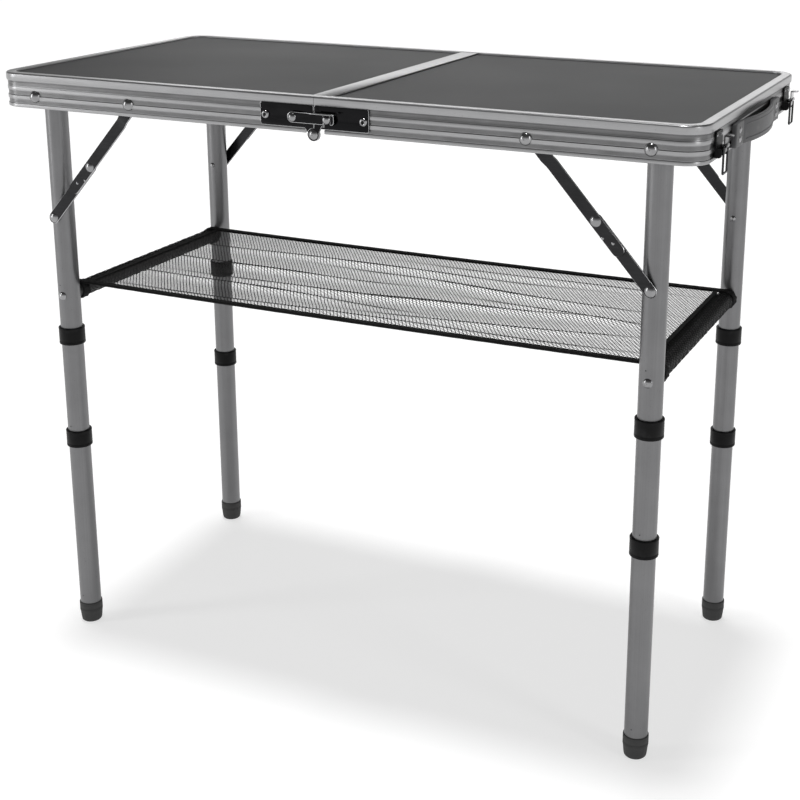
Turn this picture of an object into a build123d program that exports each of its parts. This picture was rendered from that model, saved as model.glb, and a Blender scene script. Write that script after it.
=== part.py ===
from build123d import *
import math
import os

# Camp kitchen table: a top in two halves that folds like a suitcase, two
# folding leg frames with plug-in leg extensions, folding braces, centre hinge
# locks, a mesh shelf, a strap handle and two toggle latches.
#
# Frame: origin on the floor under the middle of the top, +X along the length
# towards the handle end, +Y to the rear, +Z up. All sizes in millimetres.

# --- Driving dimensions -----------------------------------------------------

# Whole table
table_length = 800.0
table_width = 390.0
table_height = 678.0

# Rim extrusion
rim_height = 37.5
rim_wall = 2.4
rim_lip_width = 10.0
rim_lip_thickness = 1.6
rim_lip_face = 8.8
rim_groove_width = 1.0
rim_flange_width = 9.0
rim_flange_thickness = 1.4
rim_ledge_width = 12.0
rim_ledge_thickness = 1.2
rim_bottom_bead = 4.3
rim_band_height = 5.0
rim_relief = 0.8
rim_bevel = 0.5
rim_nose_radius = 2.0
rim_corner_radius = 26.0

# Top panels and the seam between the halves
panel_thickness = 5.0
panel_margin_drop = 0.3
seam_gap = 0.3
seam_wall = 1.5
seam_ledge_width = 12.0
seam_cover_left = 7.0
seam_cover_right = 15.0

# Leg tubes and their pivots
tube_diameter = 25.0
tube_wall = 1.2
leg_inset_x = 50.0
leg_inset_y = 35.0
leg_pivot_drop = 24.5
leg_top_above_pivot = 9.0
upper_collar_share = 0.5457
lower_collar_share = 0.3569

# Collars, cups that carry the section above
collar_length = 20.0
collar_wall = 2.25
collar_web = 2.0
collar_socket_depth = 12.0
collar_bevel = 1.0
spigot_head_gap = 4.0
spigot_wall = 2.5
plug_clearance = 0.3
seat_clearance = 0.1

# Feet
foot_height = 26.0
foot_floor = 9.0
foot_wall = 1.1
foot_toe_radius = 9.5
foot_toe_rise = 2.5
foot_toe_flare = 2.8
foot_band_low = 0.55
foot_band_high = 0.8
foot_lip = 0.66

# Cross tubes and shelf
cross_tube_share = 0.6187
cross_tube_diameter = 16.0
cross_plug_length = 8.0
shelf_clearance = 0.3
shelf_thickness = 1.2
shelf_width = 288.0
binding_width = 10.0
binding_thickness = 2.4

# Folding braces
brace_reach = 123.0
brace_drop = 140.0
link_width = 13.0
link_thickness = 2.0
link_clearance = 0.45
link_tail = 35.0
joggle_offset = 3.0
joggle_start = 26.0
joggle_length = 6.0
rest_gap = 0.35

# Rivets
pivot_rivet_radius = 4.0
pivot_head_radius = 6.5
pivot_head_height = 4.0
pivot_shoulder_radius = 7.0
pivot_tail_radius = 6.0
pivot_tail_length = 2.0
brace_rivet_radius = 3.0
brace_head_radius = 5.6
brace_head_height = 2.2
brace_shoulder_radius = 5.0
knee_tail_radius = 4.5
knee_tail_length = 0.27
cross_rivet_radius = 2.5
cross_head_radius = 5.0
cross_head_height = 2.4
button_radius = 3.2
button_length = 0.5
button_gap = 0.2
plate_rivet_radius = 2.0
plate_head_radius = 4.4
plate_head_height = 2.4
running_clearance = 0.05

# Centre hinge plates and lock bars
plate_length = 62.0
plate_height = 24.0
plate_top_drop = 8.2
plate_thickness = 1.5
plate_corner = 2.5
layer_gap = 0.3
hinge_drop = 0.5
hinge_pin_radius = 3.0
hinge_pin_head = 5.2
ear_radius = 6.8
ear_neck = 12.5
ear_root_share = 0.9
ear_clearance = 2.0
ear_step_share = 0.4
notch_half_width = 11.0
notch_height = 6.0
plate_rivet_inset = 6.0
lock_pivot_x = 23.0
lock_stud_x = 16.0
lock_drop = 21.5
lock_bar_width = 11.0
lock_bar_thickness = 1.8
lock_stud_radius = 2.6
lock_hook_wall = 4.5
lock_hook_play = 1.6
lock_tab_length = 28.0
lock_tab_reach = 6.5
lock_tab_thickness = 1.4
lock_corner_share = 0.6
lock_rise_start = 3.0

# Strap handle
handle_length = 190.0
handle_height = 24.0
handle_pad_length = 30.0
handle_pad_thickness = 5.0
handle_strap_thickness = 4.0
handle_bow = 9.5
handle_rivet_spacing = 9.0
handle_drop = 25.0
handle_pad_radius = 1.2
handle_head_share = 0.8
handle_dome_share = 0.6

# Toggle latches
latch_from_corner = 48.0
latch_plate_width = 24.0
latch_plate_height = 24.0
latch_plate_thickness = 1.4
latch_ear_thickness = 1.2
latch_ear_reach = 7.0
latch_ear_height = 9.0
latch_ear_round = 3.0
latch_plate_rise = 3.0
latch_lever_width = 12.0
latch_lever_thickness = 1.2
latch_lever_length = 16.0
latch_tip_reach = 7.0
latch_tip_round = 4.8
latch_web = 2.0
latch_pin_radius = 1.5
latch_barrel_radius = 2.6
bail_barrel_radius = 2.3
latch_pivot_rise = 7.5
latch_pivot_out = 5.0
bail_wire_radius = 1.1
bail_drop = 26.0
bail_corner = 1.4
bail_side_gap = 0.4
bail_pivot_rise = 6.0
keeper_hook_reach = 6.5
keeper_width = 20.0
keeper_rise = 4.0
keeper_hook_share = 0.45
keeper_hook_width = 11.0
keeper_lip = 4.0

# --- Places worked out from the driving dimensions --------------------------

half_length = table_length / 2
half_width = table_width / 2
rim_bottom = table_height - rim_height
panel_top = table_height - rim_lip_thickness
panel_bottom = panel_top - panel_thickness
tube_radius = tube_diameter / 2
tube_bore = tube_radius - tube_wall
leg_x = half_length - leg_inset_x
leg_y = half_width - leg_inset_y
leg_pivot_z = table_height - leg_pivot_drop
upper_collar_height = table_height * upper_collar_share
lower_collar_height = table_height * lower_collar_share
cross_tube_height = table_height * cross_tube_share
collar_radius = tube_radius + plug_clearance + collar_wall
collar_seat = collar_length / 2 - collar_socket_depth
spigot_length = (
    cross_tube_height - cross_rivet_radius - spigot_head_gap - upper_collar_height - collar_seat
)
cross_tube_radius = cross_tube_diameter / 2
cross_tube_bore = cross_tube_radius - tube_wall
hinge_z = rim_bottom - hinge_drop

# Distances from the middle plane, measured along Y
wall_inside = half_width - rim_wall
tube_outside = leg_y + tube_radius
tube_inside = leg_y - tube_radius
lower_link_inner = leg_y + collar_radius + link_clearance
lower_link_outer = lower_link_inner + link_thickness
upper_link_inner = lower_link_outer + rest_gap
upper_link_outer = upper_link_inner + link_thickness
joggle_outer = upper_link_outer + joggle_offset
plate_outer = half_width + plate_thickness
ear_layer_inner = plate_outer + layer_gap
ear_layer_outer = ear_layer_inner + plate_thickness
lock_layer_inner = ear_layer_outer + layer_gap
lock_layer_outer = lock_layer_inner + lock_bar_thickness

# Folding braces: straight when the leg stands, flat when it is folded
brace_x = leg_x - brace_reach
brace_open = math.hypot(brace_reach, brace_drop)
upper_link_length = (brace_open + brace_drop - brace_reach) / 2
lower_link_length = brace_open - upper_link_length
knee_x = brace_x + upper_link_length * brace_reach / brace_open
knee_z = leg_pivot_z - upper_link_length * brace_drop / brace_open
ankle_z = leg_pivot_z - brace_drop
brace_slope = math.degrees(math.atan2(brace_drop, brace_reach))

# Lock bars and latches
lock_z = table_height - lock_drop
latch_y = half_width - latch_from_corner
latch_pivot_x = half_length + latch_pivot_out
latch_pivot_z = rim_bottom + latch_pivot_rise
bail_x = latch_pivot_x + latch_barrel_radius
bail_z = latch_pivot_z + bail_pivot_rise

CUT = 5.0


# --- Shared shapes ----------------------------------------------------------

def front_rear(shape):
    """The front piece and its mirror image at the rear, as separate solids."""
    return Compound(shape.solids() + mirror(shape, Plane.XZ).solids())


def rear(shape):
    return mirror(shape, Plane.XZ)


def left(shape):
    return mirror(shape, Plane.YZ)


def group(*shapes):
    """Several separate solids as one node."""
    return Compound([solid for shape in shapes for solid in shape.solids()])


def turned(corners):
    """Solid of revolution about Z from (radius, height) corners."""
    return revolve(Plane.XZ * make_face(Polyline(*corners, close=True)), Axis.Z)


def rod_y(x, z, y_from, y_to, radius):
    """Round bar along Y."""
    length = abs(y_to - y_from)
    return Pos(x, (y_from + y_to) / 2, z) * Rot(90, 0, 0) * Cylinder(radius, length)


def block(x_from, x_to, y_from, y_to, z_from, z_to):
    """Rectangular block between two corners."""
    size = (x_to - x_from, y_to - y_from, z_to - z_from)
    middle = ((x_to + x_from) / 2, (y_to + y_from) / 2, (z_to + z_from) / 2)
    return Pos(*middle) * Box(*size)


def tube_z(x, y, z_from, z_to, radius, bore):
    """Round tube along Z."""
    height = z_to - z_from
    place = Pos(x, y, (z_from + z_to) / 2)
    return place * Cylinder(radius, height) - place * Cylinder(bore, height + CUT)


def headed_rivet(head_radius, head_height, steps):
    """Domed head above Z 0 and a stepped shank below it, given as
    (radius, length) steps from the head down."""
    ball = (head_radius**2 + head_height**2) / (2 * head_height)
    half_angle = math.asin(head_radius / ball) / 2
    crown = (ball * math.sin(half_angle), head_height - ball + ball * math.cos(half_angle))
    corners = [(head_radius, 0)]
    depth = 0.0
    for radius, length in steps:
        corners += [(radius, -depth), (radius, -depth - length)]
        depth += length
    corners += [(0, -depth), (0, head_height)]
    dome = ThreePointArc((head_radius, 0), crown, (0, head_height))
    outline = Polyline(*corners) + dome
    return revolve(Plane.XZ * make_face(outline), Axis.Z)


def facing_front(shape, x, y_out, z):
    """Place a rivet so that its head faces the front from distance y_out."""
    return Pos(x, -y_out, z) * Rot(90, 0, 0) * shape


def facing_right(shape, x, y, z):
    """Place a rivet so that its head faces the right end."""
    return Pos(x, y, z) * Rot(0, 90, 0) * shape


# --- Top --------------------------------------------------------------------

def rim_section():
    """Section of the rim extrusion: outward distance and height from the top."""
    below_groove = rim_lip_face + rim_groove_width
    gap = (rim_height - below_groove - rim_bottom_bead - 2 * rim_band_height) / 3
    nose = rim_nose_radius
    outer = [(0, -rim_lip_face), (-rim_relief, -rim_lip_face), (-rim_relief, -below_groove)]
    outer += [(-rim_bevel, -below_groove)]
    shade = -rim_bevel
    for band in range(2):
        top = below_groove + gap * (band + 1) + rim_band_height * band
        bottom = top + rim_band_height
        outer += [(shade, -top), (0, -top - rim_bevel), (0, -bottom + rim_bevel)]
        shade = -rim_relief
        outer += [(shade, -bottom)]
    bead = rim_height - rim_bottom_bead
    outer += [(shade, -bead), (0, -bead - rim_bevel), (0, -rim_height + 1)]
    ledge_top = rim_lip_thickness + panel_thickness
    ledge_bottom = ledge_top + rim_ledge_thickness
    inner = [(-1, -rim_height), (-rim_flange_width, -rim_height)]
    inner += [(-rim_flange_width, rim_flange_thickness - rim_height)]
    inner += [(-rim_wall, rim_flange_thickness - rim_height), (-rim_wall, -ledge_bottom)]
    inner += [(-rim_ledge_width, -ledge_bottom), (-rim_ledge_width, -ledge_top)]
    inner += [(-rim_wall, -ledge_top), (-rim_wall, -rim_lip_thickness)]
    inner += [(-rim_lip_width, -rim_lip_thickness), (-rim_lip_width, -rim_bevel)]
    inner += [(-rim_lip_width + rim_bevel, 0), (-nose, 0)]
    crown = nose * (1 - math.sqrt(0.5))
    outline = Polyline((0, -nose), *outer) + RadiusArc(outer[-1], inner[0], 1)
    outline += Polyline(*inner) + ThreePointArc((-nose, 0), (-crown, -crown), (0, -nose))
    return make_face(outline)


def right_rim():
    """Rim of the right half: front side, round corner, end, corner, rear side."""
    route = FilletPolyline(
        (seam_gap / 2, -half_width, table_height),
        (half_length, -half_width, table_height),
        (half_length, half_width, table_height),
        (seam_gap / 2, half_width, table_height),
        radius=rim_corner_radius,
    )
    start = Plane(
        origin=(seam_gap / 2, -half_width, table_height), x_dir=(0, -1, 0), z_dir=(-1, 0, 0)
    )
    rim = sweep(start * rim_section(), path=route)
    notch_top = rim_bottom + notch_height
    notch = block(
        -CUT, notch_half_width, -half_width - CUT, half_width + CUT, rim_bottom - CUT, notch_top
    )
    holes = [
        rod_y(leg_x, leg_pivot_z, -half_width - CUT, half_width + CUT, pivot_rivet_radius),
        rod_y(brace_x, leg_pivot_z, -half_width - CUT, half_width + CUT, brace_rivet_radius),
    ]
    return rim - notch - holes


def panel(field_start):
    """Laminated board of the right half. Its margins lie lower, under the rim lip
    and the seam strip, and its field starts at a given distance from the seam."""
    field_edge = rim_lip_width + seam_gap
    margin_top = panel_top - panel_margin_drop
    board = block(
        seam_gap + seam_wall, half_length - rim_wall, -wall_inside, wall_inside, panel_bottom, margin_top
    )
    board = fillet(board.edges().filter_by(Axis.Z).group_by(Axis.X)[-1], rim_corner_radius - rim_wall)
    field = block(
        field_start, half_length - field_edge, field_edge - half_width, half_width - field_edge,
        panel_bottom, panel_top,
    )
    corners = field.edges().filter_by(Axis.Z).group_by(Axis.X)[-1]
    return board + fillet(corners, rim_corner_radius - field_edge)


def right_panel():
    return panel(seam_cover_right + seam_gap)


def left_panel():
    return left(panel(seam_cover_left + seam_gap))


def seam_length():
    return half_width - rim_lip_width - seam_gap


def right_seam_profile():
    """Seam extrusion of the right half, with the strip that covers the joint."""
    reach = seam_length()
    under = half_width - rim_ledge_width - seam_gap
    strip = block(-seam_cover_left, seam_cover_right, -reach, reach, panel_top, table_height)
    wall = block(seam_gap, seam_gap + seam_wall, -reach, reach, panel_bottom, panel_top)
    ledge = block(
        seam_gap, seam_ledge_width, -under, under, panel_bottom - seam_wall, panel_bottom
    )
    return strip + wall + ledge


def left_seam_profile():
    """Seam extrusion of the left half, with its edge under the cover strip."""
    reach = seam_length()
    under = half_width - rim_ledge_width - seam_gap
    wall = block(
        -seam_gap - seam_wall, -seam_gap, -reach, reach, panel_bottom, panel_top - seam_gap
    )
    ledge = block(
        -seam_ledge_width, -seam_gap, -under, under, panel_bottom - seam_wall, panel_bottom
    )
    return wall + ledge


def top_pivot_rivets():
    """Leg and brace pivots riveted through the front wall of the right rim."""
    leg_rivet = headed_rivet(
        pivot_head_radius,
        pivot_head_height,
        [
            (pivot_rivet_radius, rim_wall),
            (pivot_shoulder_radius, wall_inside - tube_outside - rest_gap),
            (pivot_rivet_radius, tube_diameter + 2 * rest_gap),
            (pivot_tail_radius, pivot_tail_length),
        ],
    )
    brace_rivet = headed_rivet(
        pivot_head_radius,
        pivot_head_height,
        [
            (brace_rivet_radius, rim_wall),
            (brace_shoulder_radius, wall_inside - joggle_outer - rest_gap),
            (brace_rivet_radius, link_thickness + 2 * rest_gap),
            (brace_shoulder_radius, joggle_offset / 2),
        ],
    )
    return group(
        facing_front(leg_rivet, leg_x, half_width, leg_pivot_z),
        facing_front(brace_rivet, brace_x, half_width, leg_pivot_z),
    )


# --- Centre hinges and their locks ------------------------------------------

def plate_face(x_from, x_to, bottom):
    """Face of a hinge plate in the X-Z plane with rounded corners."""
    top = table_height - plate_top_drop
    width, height = x_to - x_from, top - bottom
    middle = ((x_from + x_to) / 2, (top + bottom) / 2)
    return Pos(*middle) * RectangleRounded(width, height, plate_corner)


def front_slab(face, y_inner, y_outer):
    """Give a face in the X-Z plane its thickness between two distances."""
    return extrude(Plane.XZ.offset(y_inner) * face, y_outer - y_inner)


def ear_face(neck_from, neck_to, neck_top):
    """Round ear about the hinge axis with the neck that joins it to its plate."""
    disc = Pos(0, hinge_z) * Circle(ear_radius)
    root = math.copysign(ear_radius * ear_root_share, neck_to)
    corners = [(0, hinge_z), (root, hinge_z), (neck_to, neck_top), (neck_from, neck_top)]
    neck = make_face(Polyline(*corners, close=True))
    return disc + neck


def plate_bottom():
    return table_height - plate_top_drop - plate_height


def left_hinge_plate():
    """Left plate of the front hinge; its ear lies against the rim's plane."""
    bottom = plate_bottom()
    neck_top = bottom + plate_corner
    face = plate_face(-plate_length, -seam_gap, bottom)
    face += ear_face(-1, -ear_neck, neck_top)
    plate = front_slab(face, half_width, plate_outer)
    plate -= rod_y(0, hinge_z, -plate_outer - CUT, -half_width + CUT, hinge_pin_radius)
    for x in (-plate_length + plate_rivet_inset, -lock_pivot_x):
        plate -= rod_y(x, lock_z, -plate_outer - CUT, -half_width + CUT, plate_rivet_radius)
    return plate


def right_hinge_plate():
    """Right plate of the front hinge; its ear stands in front of the left ear."""
    bottom = plate_bottom()
    face = plate_face(seam_gap, plate_length, bottom)
    face -= Pos(0, hinge_z) * Circle(ear_radius + ear_clearance)
    base = front_slab(face, half_width, plate_outer)
    step_top = bottom + plate_height * ear_step_share
    step = ear_face(2, ear_neck, step_top)
    ear = front_slab(step, ear_layer_inner, ear_layer_outer)
    joint = make_face(
        Polyline(
            (ear_radius + ear_clearance + 1, bottom + plate_corner),
            (ear_neck - 1, bottom + plate_corner),
            (ear_neck - 1, step_top),
            (ear_radius, step_top),
            close=True,
        )
    )
    link = front_slab(joint, half_width, ear_layer_outer)
    plate = base + ear + link
    plate -= rod_y(
        0, hinge_z, -ear_layer_outer - CUT, -half_width + CUT, hinge_pin_radius + running_clearance
    )
    for x in (plate_length - plate_rivet_inset, lock_stud_x):
        plate -= rod_y(x, lock_z, -ear_layer_outer - CUT, -half_width + CUT, plate_rivet_radius)
    return plate


def hinge_pin():
    """Hinge pin fixed in the left ear, with a head in front of the right ear."""
    pin = headed_rivet(
        hinge_pin_head,
        plate_head_height,
        [
            (hinge_pin_radius, ear_layer_outer + layer_gap - half_width),
            (hinge_pin_head, pivot_tail_length / 2),
        ],
    )
    return facing_front(pin, 0, ear_layer_outer + layer_gap, hinge_z)


def plate_rivet(x):
    """Rivet that holds a hinge plate to the rim."""
    shank = [(plate_rivet_radius, plate_thickness)]
    return facing_front(
        headed_rivet(plate_head_radius, plate_head_height, shank), x, plate_outer, lock_z
    )


def lock_pivot_rivet():
    """Rivet on the left plate that the lock bar turns on."""
    rivet = headed_rivet(
        plate_head_radius,
        plate_head_height,
        [
            (lock_stud_radius, lock_layer_outer + layer_gap - plate_outer),
            (plate_rivet_radius, plate_thickness),
        ],
    )
    return facing_front(rivet, -lock_pivot_x, lock_layer_outer + layer_gap, lock_z)


def lock_stud():
    """Headed stud on the right plate that the lock bar hooks over."""
    stud = headed_rivet(
        plate_head_radius,
        plate_head_height,
        [
            (lock_stud_radius, lock_layer_outer + layer_gap - plate_outer),
            (plate_rivet_radius, plate_thickness),
        ],
    )
    return facing_front(stud, lock_stud_x, lock_layer_outer + layer_gap, lock_z)


def lock_bar():
    """Bar that turns on the left plate and hooks over the stud on the right."""
    half_bar = lock_bar_width / 2
    hook_end = lock_stud_x + lock_stud_radius + lock_hook_play + lock_hook_wall
    body_length = hook_end + lock_pivot_x
    bar = Pos(hook_end - body_length / 2, lock_z) * Rectangle(body_length, lock_bar_width)
    bar = fillet(bar.vertices().group_by(Axis.X)[-1], half_bar * lock_corner_share)
    bar += Pos(-lock_pivot_x, lock_z) * Circle(half_bar)
    notch_from = lock_stud_x - lock_stud_radius - rest_gap
    notch_to = lock_stud_x + lock_stud_radius + lock_hook_play
    notch_top = lock_z + lock_stud_radius + rest_gap
    notch_height_total = notch_top - lock_z + half_bar + CUT
    notch = Pos((notch_from + notch_to) / 2, notch_top - notch_height_total / 2) * Rectangle(
        notch_to - notch_from, notch_height_total
    )
    solid = front_slab(bar - notch, lock_layer_inner, lock_layer_outer)
    tab_top = lock_z + half_bar
    tab = block(
        0, lock_tab_length, -lock_layer_outer - lock_tab_reach, -lock_layer_inner,
        tab_top, tab_top + lock_tab_thickness,
    )
    rise = block(
        1, hook_end - half_bar, -lock_layer_outer, -lock_layer_inner,
        lock_z + lock_rise_start, tab_top + lock_tab_thickness,
    )
    bore = rod_y(
        -lock_pivot_x, lock_z, -lock_layer_outer - CUT, -half_width, lock_stud_radius + running_clearance
    )
    return solid + tab + rise - bore


# --- Handle and toggle latches ----------------------------------------------

def handle_strap():
    """Moulded strap, bowed outwards between two pads on the right end."""
    half_strap = handle_length / 2
    pad_inner = half_strap - handle_pad_length
    strap_end = pad_inner + 1
    face_x = half_length
    bow_x = face_x + handle_bow + handle_strap_thickness
    middle_z = table_height - handle_drop
    arc_end = face_x + handle_pad_thickness
    inner_end = arc_end - handle_strap_thickness
    outer = ThreePointArc((arc_end, -strap_end), (bow_x, 0), (arc_end, strap_end))
    inner = ThreePointArc(
        (inner_end, -strap_end), (bow_x - handle_strap_thickness, 0), (inner_end, strap_end)
    )
    ends = Line(outer @ 0, inner @ 0) + Line(outer @ 1, inner @ 1)
    strap = make_face(outer + inner + ends)
    for side in (-1, 1):
        strap += Pos(face_x + handle_pad_thickness / 2, side * (half_strap + pad_inner) / 2) * (
            RectangleRounded(handle_pad_thickness, handle_pad_length, handle_pad_radius)
        )
    solid = Pos(0, 0, middle_z - handle_height / 2) * extrude(strap, handle_height)
    bore = Rot(0, 90, 0) * Cylinder(plate_rivet_radius, 4 * handle_pad_thickness)
    for x, y, z in handle_rivet_places():
        solid -= Pos(x, y, z) * bore
    return solid


def handle_rivet_places():
    """Two rivets on each pad, one above the other."""
    pad_middle = handle_length / 2 - handle_pad_length / 2
    middle_z = table_height - handle_drop
    face_x = half_length + handle_pad_thickness
    return [
        (face_x, side * pad_middle, middle_z + level * handle_rivet_spacing / 2)
        for side in (-1, 1)
        for level in (-1, 1)
    ]


def handle_rivets():
    shank = [(plate_rivet_radius, handle_pad_thickness)]
    head = (plate_head_radius * handle_head_share, plate_head_height * handle_dome_share)
    rivet = headed_rivet(*head, shank)
    return group(*[facing_right(rivet, x, y, z) for x, y, z in handle_rivet_places()])


def latch_base():
    """Base plate of the front latch with two ears that carry the lever pin."""
    half_plate = latch_plate_width / 2
    bottom = rim_bottom + latch_plate_rise
    plate = block(
        half_length, half_length + latch_plate_thickness, -latch_y - half_plate,
        -latch_y + half_plate, bottom, bottom + latch_plate_height,
    )
    upright = plate.edges().filter_by(Axis.X)
    base = fillet(upright, plate_corner)
    for side in (-1, 1):
        edge = -latch_y + side * (half_plate - latch_ear_thickness / 2)
        middle_x = half_length + latch_ear_reach / 2
        size = (latch_ear_reach, latch_ear_thickness, latch_ear_height)
        ear = Pos(middle_x, edge, latch_pivot_z) * Box(*size)
        outer_edges = ear.edges().filter_by(Axis.Y).group_by(Axis.X)[-1]
        base += fillet(outer_edges, latch_ear_round)
    y_from, y_to = -latch_y - half_plate - CUT, -latch_y + half_plate + CUT
    return base - rod_y(latch_pivot_x, latch_pivot_z, y_from, y_to, latch_pin_radius)


def latch_pin():
    """Lever pin, fixed in the two ears."""
    half_plate = latch_plate_width / 2
    y_from, y_to = -latch_y - half_plate, -latch_y + half_plate
    return rod_y(latch_pivot_x, latch_pivot_z, y_from, y_to, latch_pin_radius)


def latch_lever():
    """Lever: two rolled barrels, an upright plate and an outturned finger tip."""
    half_lever = latch_lever_width / 2
    y_from, y_to = -latch_y - half_lever, -latch_y + half_lever
    top = latch_pivot_z + latch_lever_length
    lever = rod_y(latch_pivot_x, latch_pivot_z, y_from, y_to, latch_barrel_radius)
    lever += rod_y(bail_x, bail_z, y_from, y_to, bail_barrel_radius)
    lever += block(
        bail_x - latch_lever_thickness / 2, bail_x + latch_lever_thickness / 2,
        y_from, y_to, latch_pivot_z, top,
    )
    web_low = latch_pivot_z - latch_web / 2
    lever += block(latch_pivot_x, bail_x, y_from, y_to, web_low, web_low + latch_web)
    tip = block(
        bail_x - latch_lever_thickness / 2, bail_x + latch_tip_reach, y_from, y_to,
        top - latch_lever_thickness, top,
    )
    outer_edges = tip.edges().filter_by(Axis.Z).group_by(Axis.X)[-1]
    lever += fillet(outer_edges, latch_tip_round)
    pin_bore = latch_pin_radius + running_clearance
    wire_bore = bail_wire_radius + running_clearance
    lever -= rod_y(latch_pivot_x, latch_pivot_z, y_from - CUT, y_to + CUT, pin_bore)
    return lever - rod_y(bail_x, bail_z, y_from - CUT, y_to + CUT, wire_bore)


def latch_bail():
    """Wire loop that hangs from the lever and catches the keeper."""
    half_loop = latch_lever_width / 2 + bail_side_gap + bail_wire_radius
    low = bail_z - bail_drop
    loop = RectangleRounded(2 * half_loop, bail_drop, bail_corner)
    flat = Plane.YZ.offset(bail_x) * Pos(-latch_y, (bail_z + low) / 2) * loop
    route = flat.face().outer_wire()
    start = Plane(origin=route @ 0, z_dir=route % 0)
    return sweep(start * Circle(bail_wire_radius), path=route)


def latch_keeper():
    """Hooked keeper for the front latch on the left end of the top."""
    half_keeper = keeper_width / 2
    bottom = rim_bottom + keeper_rise
    plate = block(
        -half_length - latch_plate_thickness, -half_length, -latch_y - half_keeper,
        -latch_y + half_keeper, bottom, bottom + keeper_width,
    )
    base = fillet(plate.edges().filter_by(Axis.X), plate_corner)
    hook_z = bottom + keeper_width * keeper_hook_share
    inner = keeper_hook_width / 2
    shelf = block(
        -half_length - keeper_hook_reach, -half_length, -latch_y - inner, -latch_y + inner,
        hook_z, hook_z + latch_plate_thickness,
    )
    lip = block(
        -half_length - keeper_hook_reach, -half_length - keeper_hook_reach + latch_plate_thickness,
        -latch_y - inner, -latch_y + inner, hook_z, hook_z + keeper_lip,
    )
    return base + shelf + lip


# --- Leg frames -------------------------------------------------------------

def leg_tube():
    """Upper tube of the front right leg, bored for its rivets."""
    end = upper_collar_height + collar_seat + seat_clearance
    top = leg_pivot_z + leg_top_above_pivot
    tube = tube_z(leg_x, -leg_y, end, top, tube_radius, tube_bore)
    y_from, y_to = -tube_outside - CUT, -tube_inside + CUT
    tube -= rod_y(leg_x, leg_pivot_z, y_from, y_to, pivot_rivet_radius + running_clearance)
    return tube - rod_y(leg_x, cross_tube_height, y_from, y_to, cross_rivet_radius)


def cross_tube():
    """Tube between the front and rear legs, coped to them, that carries the shelf."""
    tube = rod_y(leg_x, cross_tube_height, -leg_y, leg_y, cross_tube_radius)
    tube -= rod_y(leg_x, cross_tube_height, -leg_y - CUT, leg_y + CUT, cross_tube_bore)
    cope = Cylinder(tube_radius, 4 * cross_tube_diameter)
    for side in (-1, 1):
        tube -= Pos(leg_x, side * leg_y, cross_tube_height) * cope
    return tube


def leg_rivets():
    """Cross tube rivet with its inner plug, and the button end of the brace rivet."""
    rivet = headed_rivet(
        cross_head_radius,
        cross_head_height,
        [(cross_rivet_radius, tube_diameter + 1), (cross_tube_bore, cross_plug_length)],
    )
    plug = facing_front(rivet, leg_x, tube_outside, cross_tube_height)
    shank = [(cross_rivet_radius, button_length)]
    button = headed_rivet(button_radius, pivot_tail_length, shank)
    button = Pos(leg_x, button_gap - tube_inside, ankle_z) * Rot(-90, 0, 0) * button
    button -= Pos(leg_x, -leg_y, ankle_z) * Cylinder(tube_radius, tube_diameter)
    return group(plug, button.solids().sort_by(SortBy.VOLUME)[-1])


def collar(height):
    """Cup collar at a given height: socket above, tube end below, hollow spigot."""
    top = height + collar_length / 2
    bottom = height - collar_length / 2
    seat = height + collar_seat
    web = seat - collar_web
    socket = tube_radius + plug_clearance
    spigot = tube_bore - plug_clearance
    bevel = collar_bevel
    corners = [
        (spigot - spigot_wall, web), (tube_radius, web), (tube_radius, bottom),
        (collar_radius - bevel, bottom), (collar_radius, bottom + bevel), (collar_radius, top - bevel),
        (collar_radius - bevel, top), (socket, top), (socket, seat), (spigot, seat),
        (spigot, seat + spigot_length - 2 * bevel), (spigot - bevel, seat + spigot_length),
        (spigot - spigot_wall, seat + spigot_length),
    ]
    return Pos(leg_x, -leg_y, 0) * turned(corners)


def section_top(height):
    """Height of the tube end that a collar sits on."""
    return height + collar_seat - collar_web


def middle_tube():
    """Middle leg section between the two collars."""
    end = lower_collar_height + collar_seat + seat_clearance
    return tube_z(leg_x, -leg_y, end, section_top(upper_collar_height), tube_radius, tube_bore)


def lower_tube():
    """Lowest leg section, standing in its foot."""
    top = section_top(lower_collar_height)
    return tube_z(leg_x, -leg_y, foot_floor, top, tube_radius, tube_bore)


def foot():
    """Rubber foot, a tapered cup on the end of the lowest tube."""
    widest = tube_radius + foot_wall
    corners = [
        (0, 0), (foot_toe_radius, 0), (foot_toe_radius + foot_toe_flare, foot_toe_rise),
        (widest, foot_height * foot_band_low), (widest, foot_height * foot_band_high),
        (widest - foot_lip, foot_height),
        (tube_radius, foot_height), (tube_radius, foot_floor), (0, foot_floor),
    ]
    return Pos(leg_x, -leg_y, 0) * turned(corners)


# --- Braces -----------------------------------------------------------------

def link_face(length, tail):
    """Flat link along +X from its first pivot, with round ends."""
    total = length + tail
    half = link_width / 2
    return Pos(total / 2, 0) * SlotCenterToCenter(total, 2 * half)


def along_brace(shape, x, z):
    """Turn a link built along +X to the slope of the open brace."""
    return Pos(x, 0, z) * Rot(0, brace_slope, 0) * shape


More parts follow.
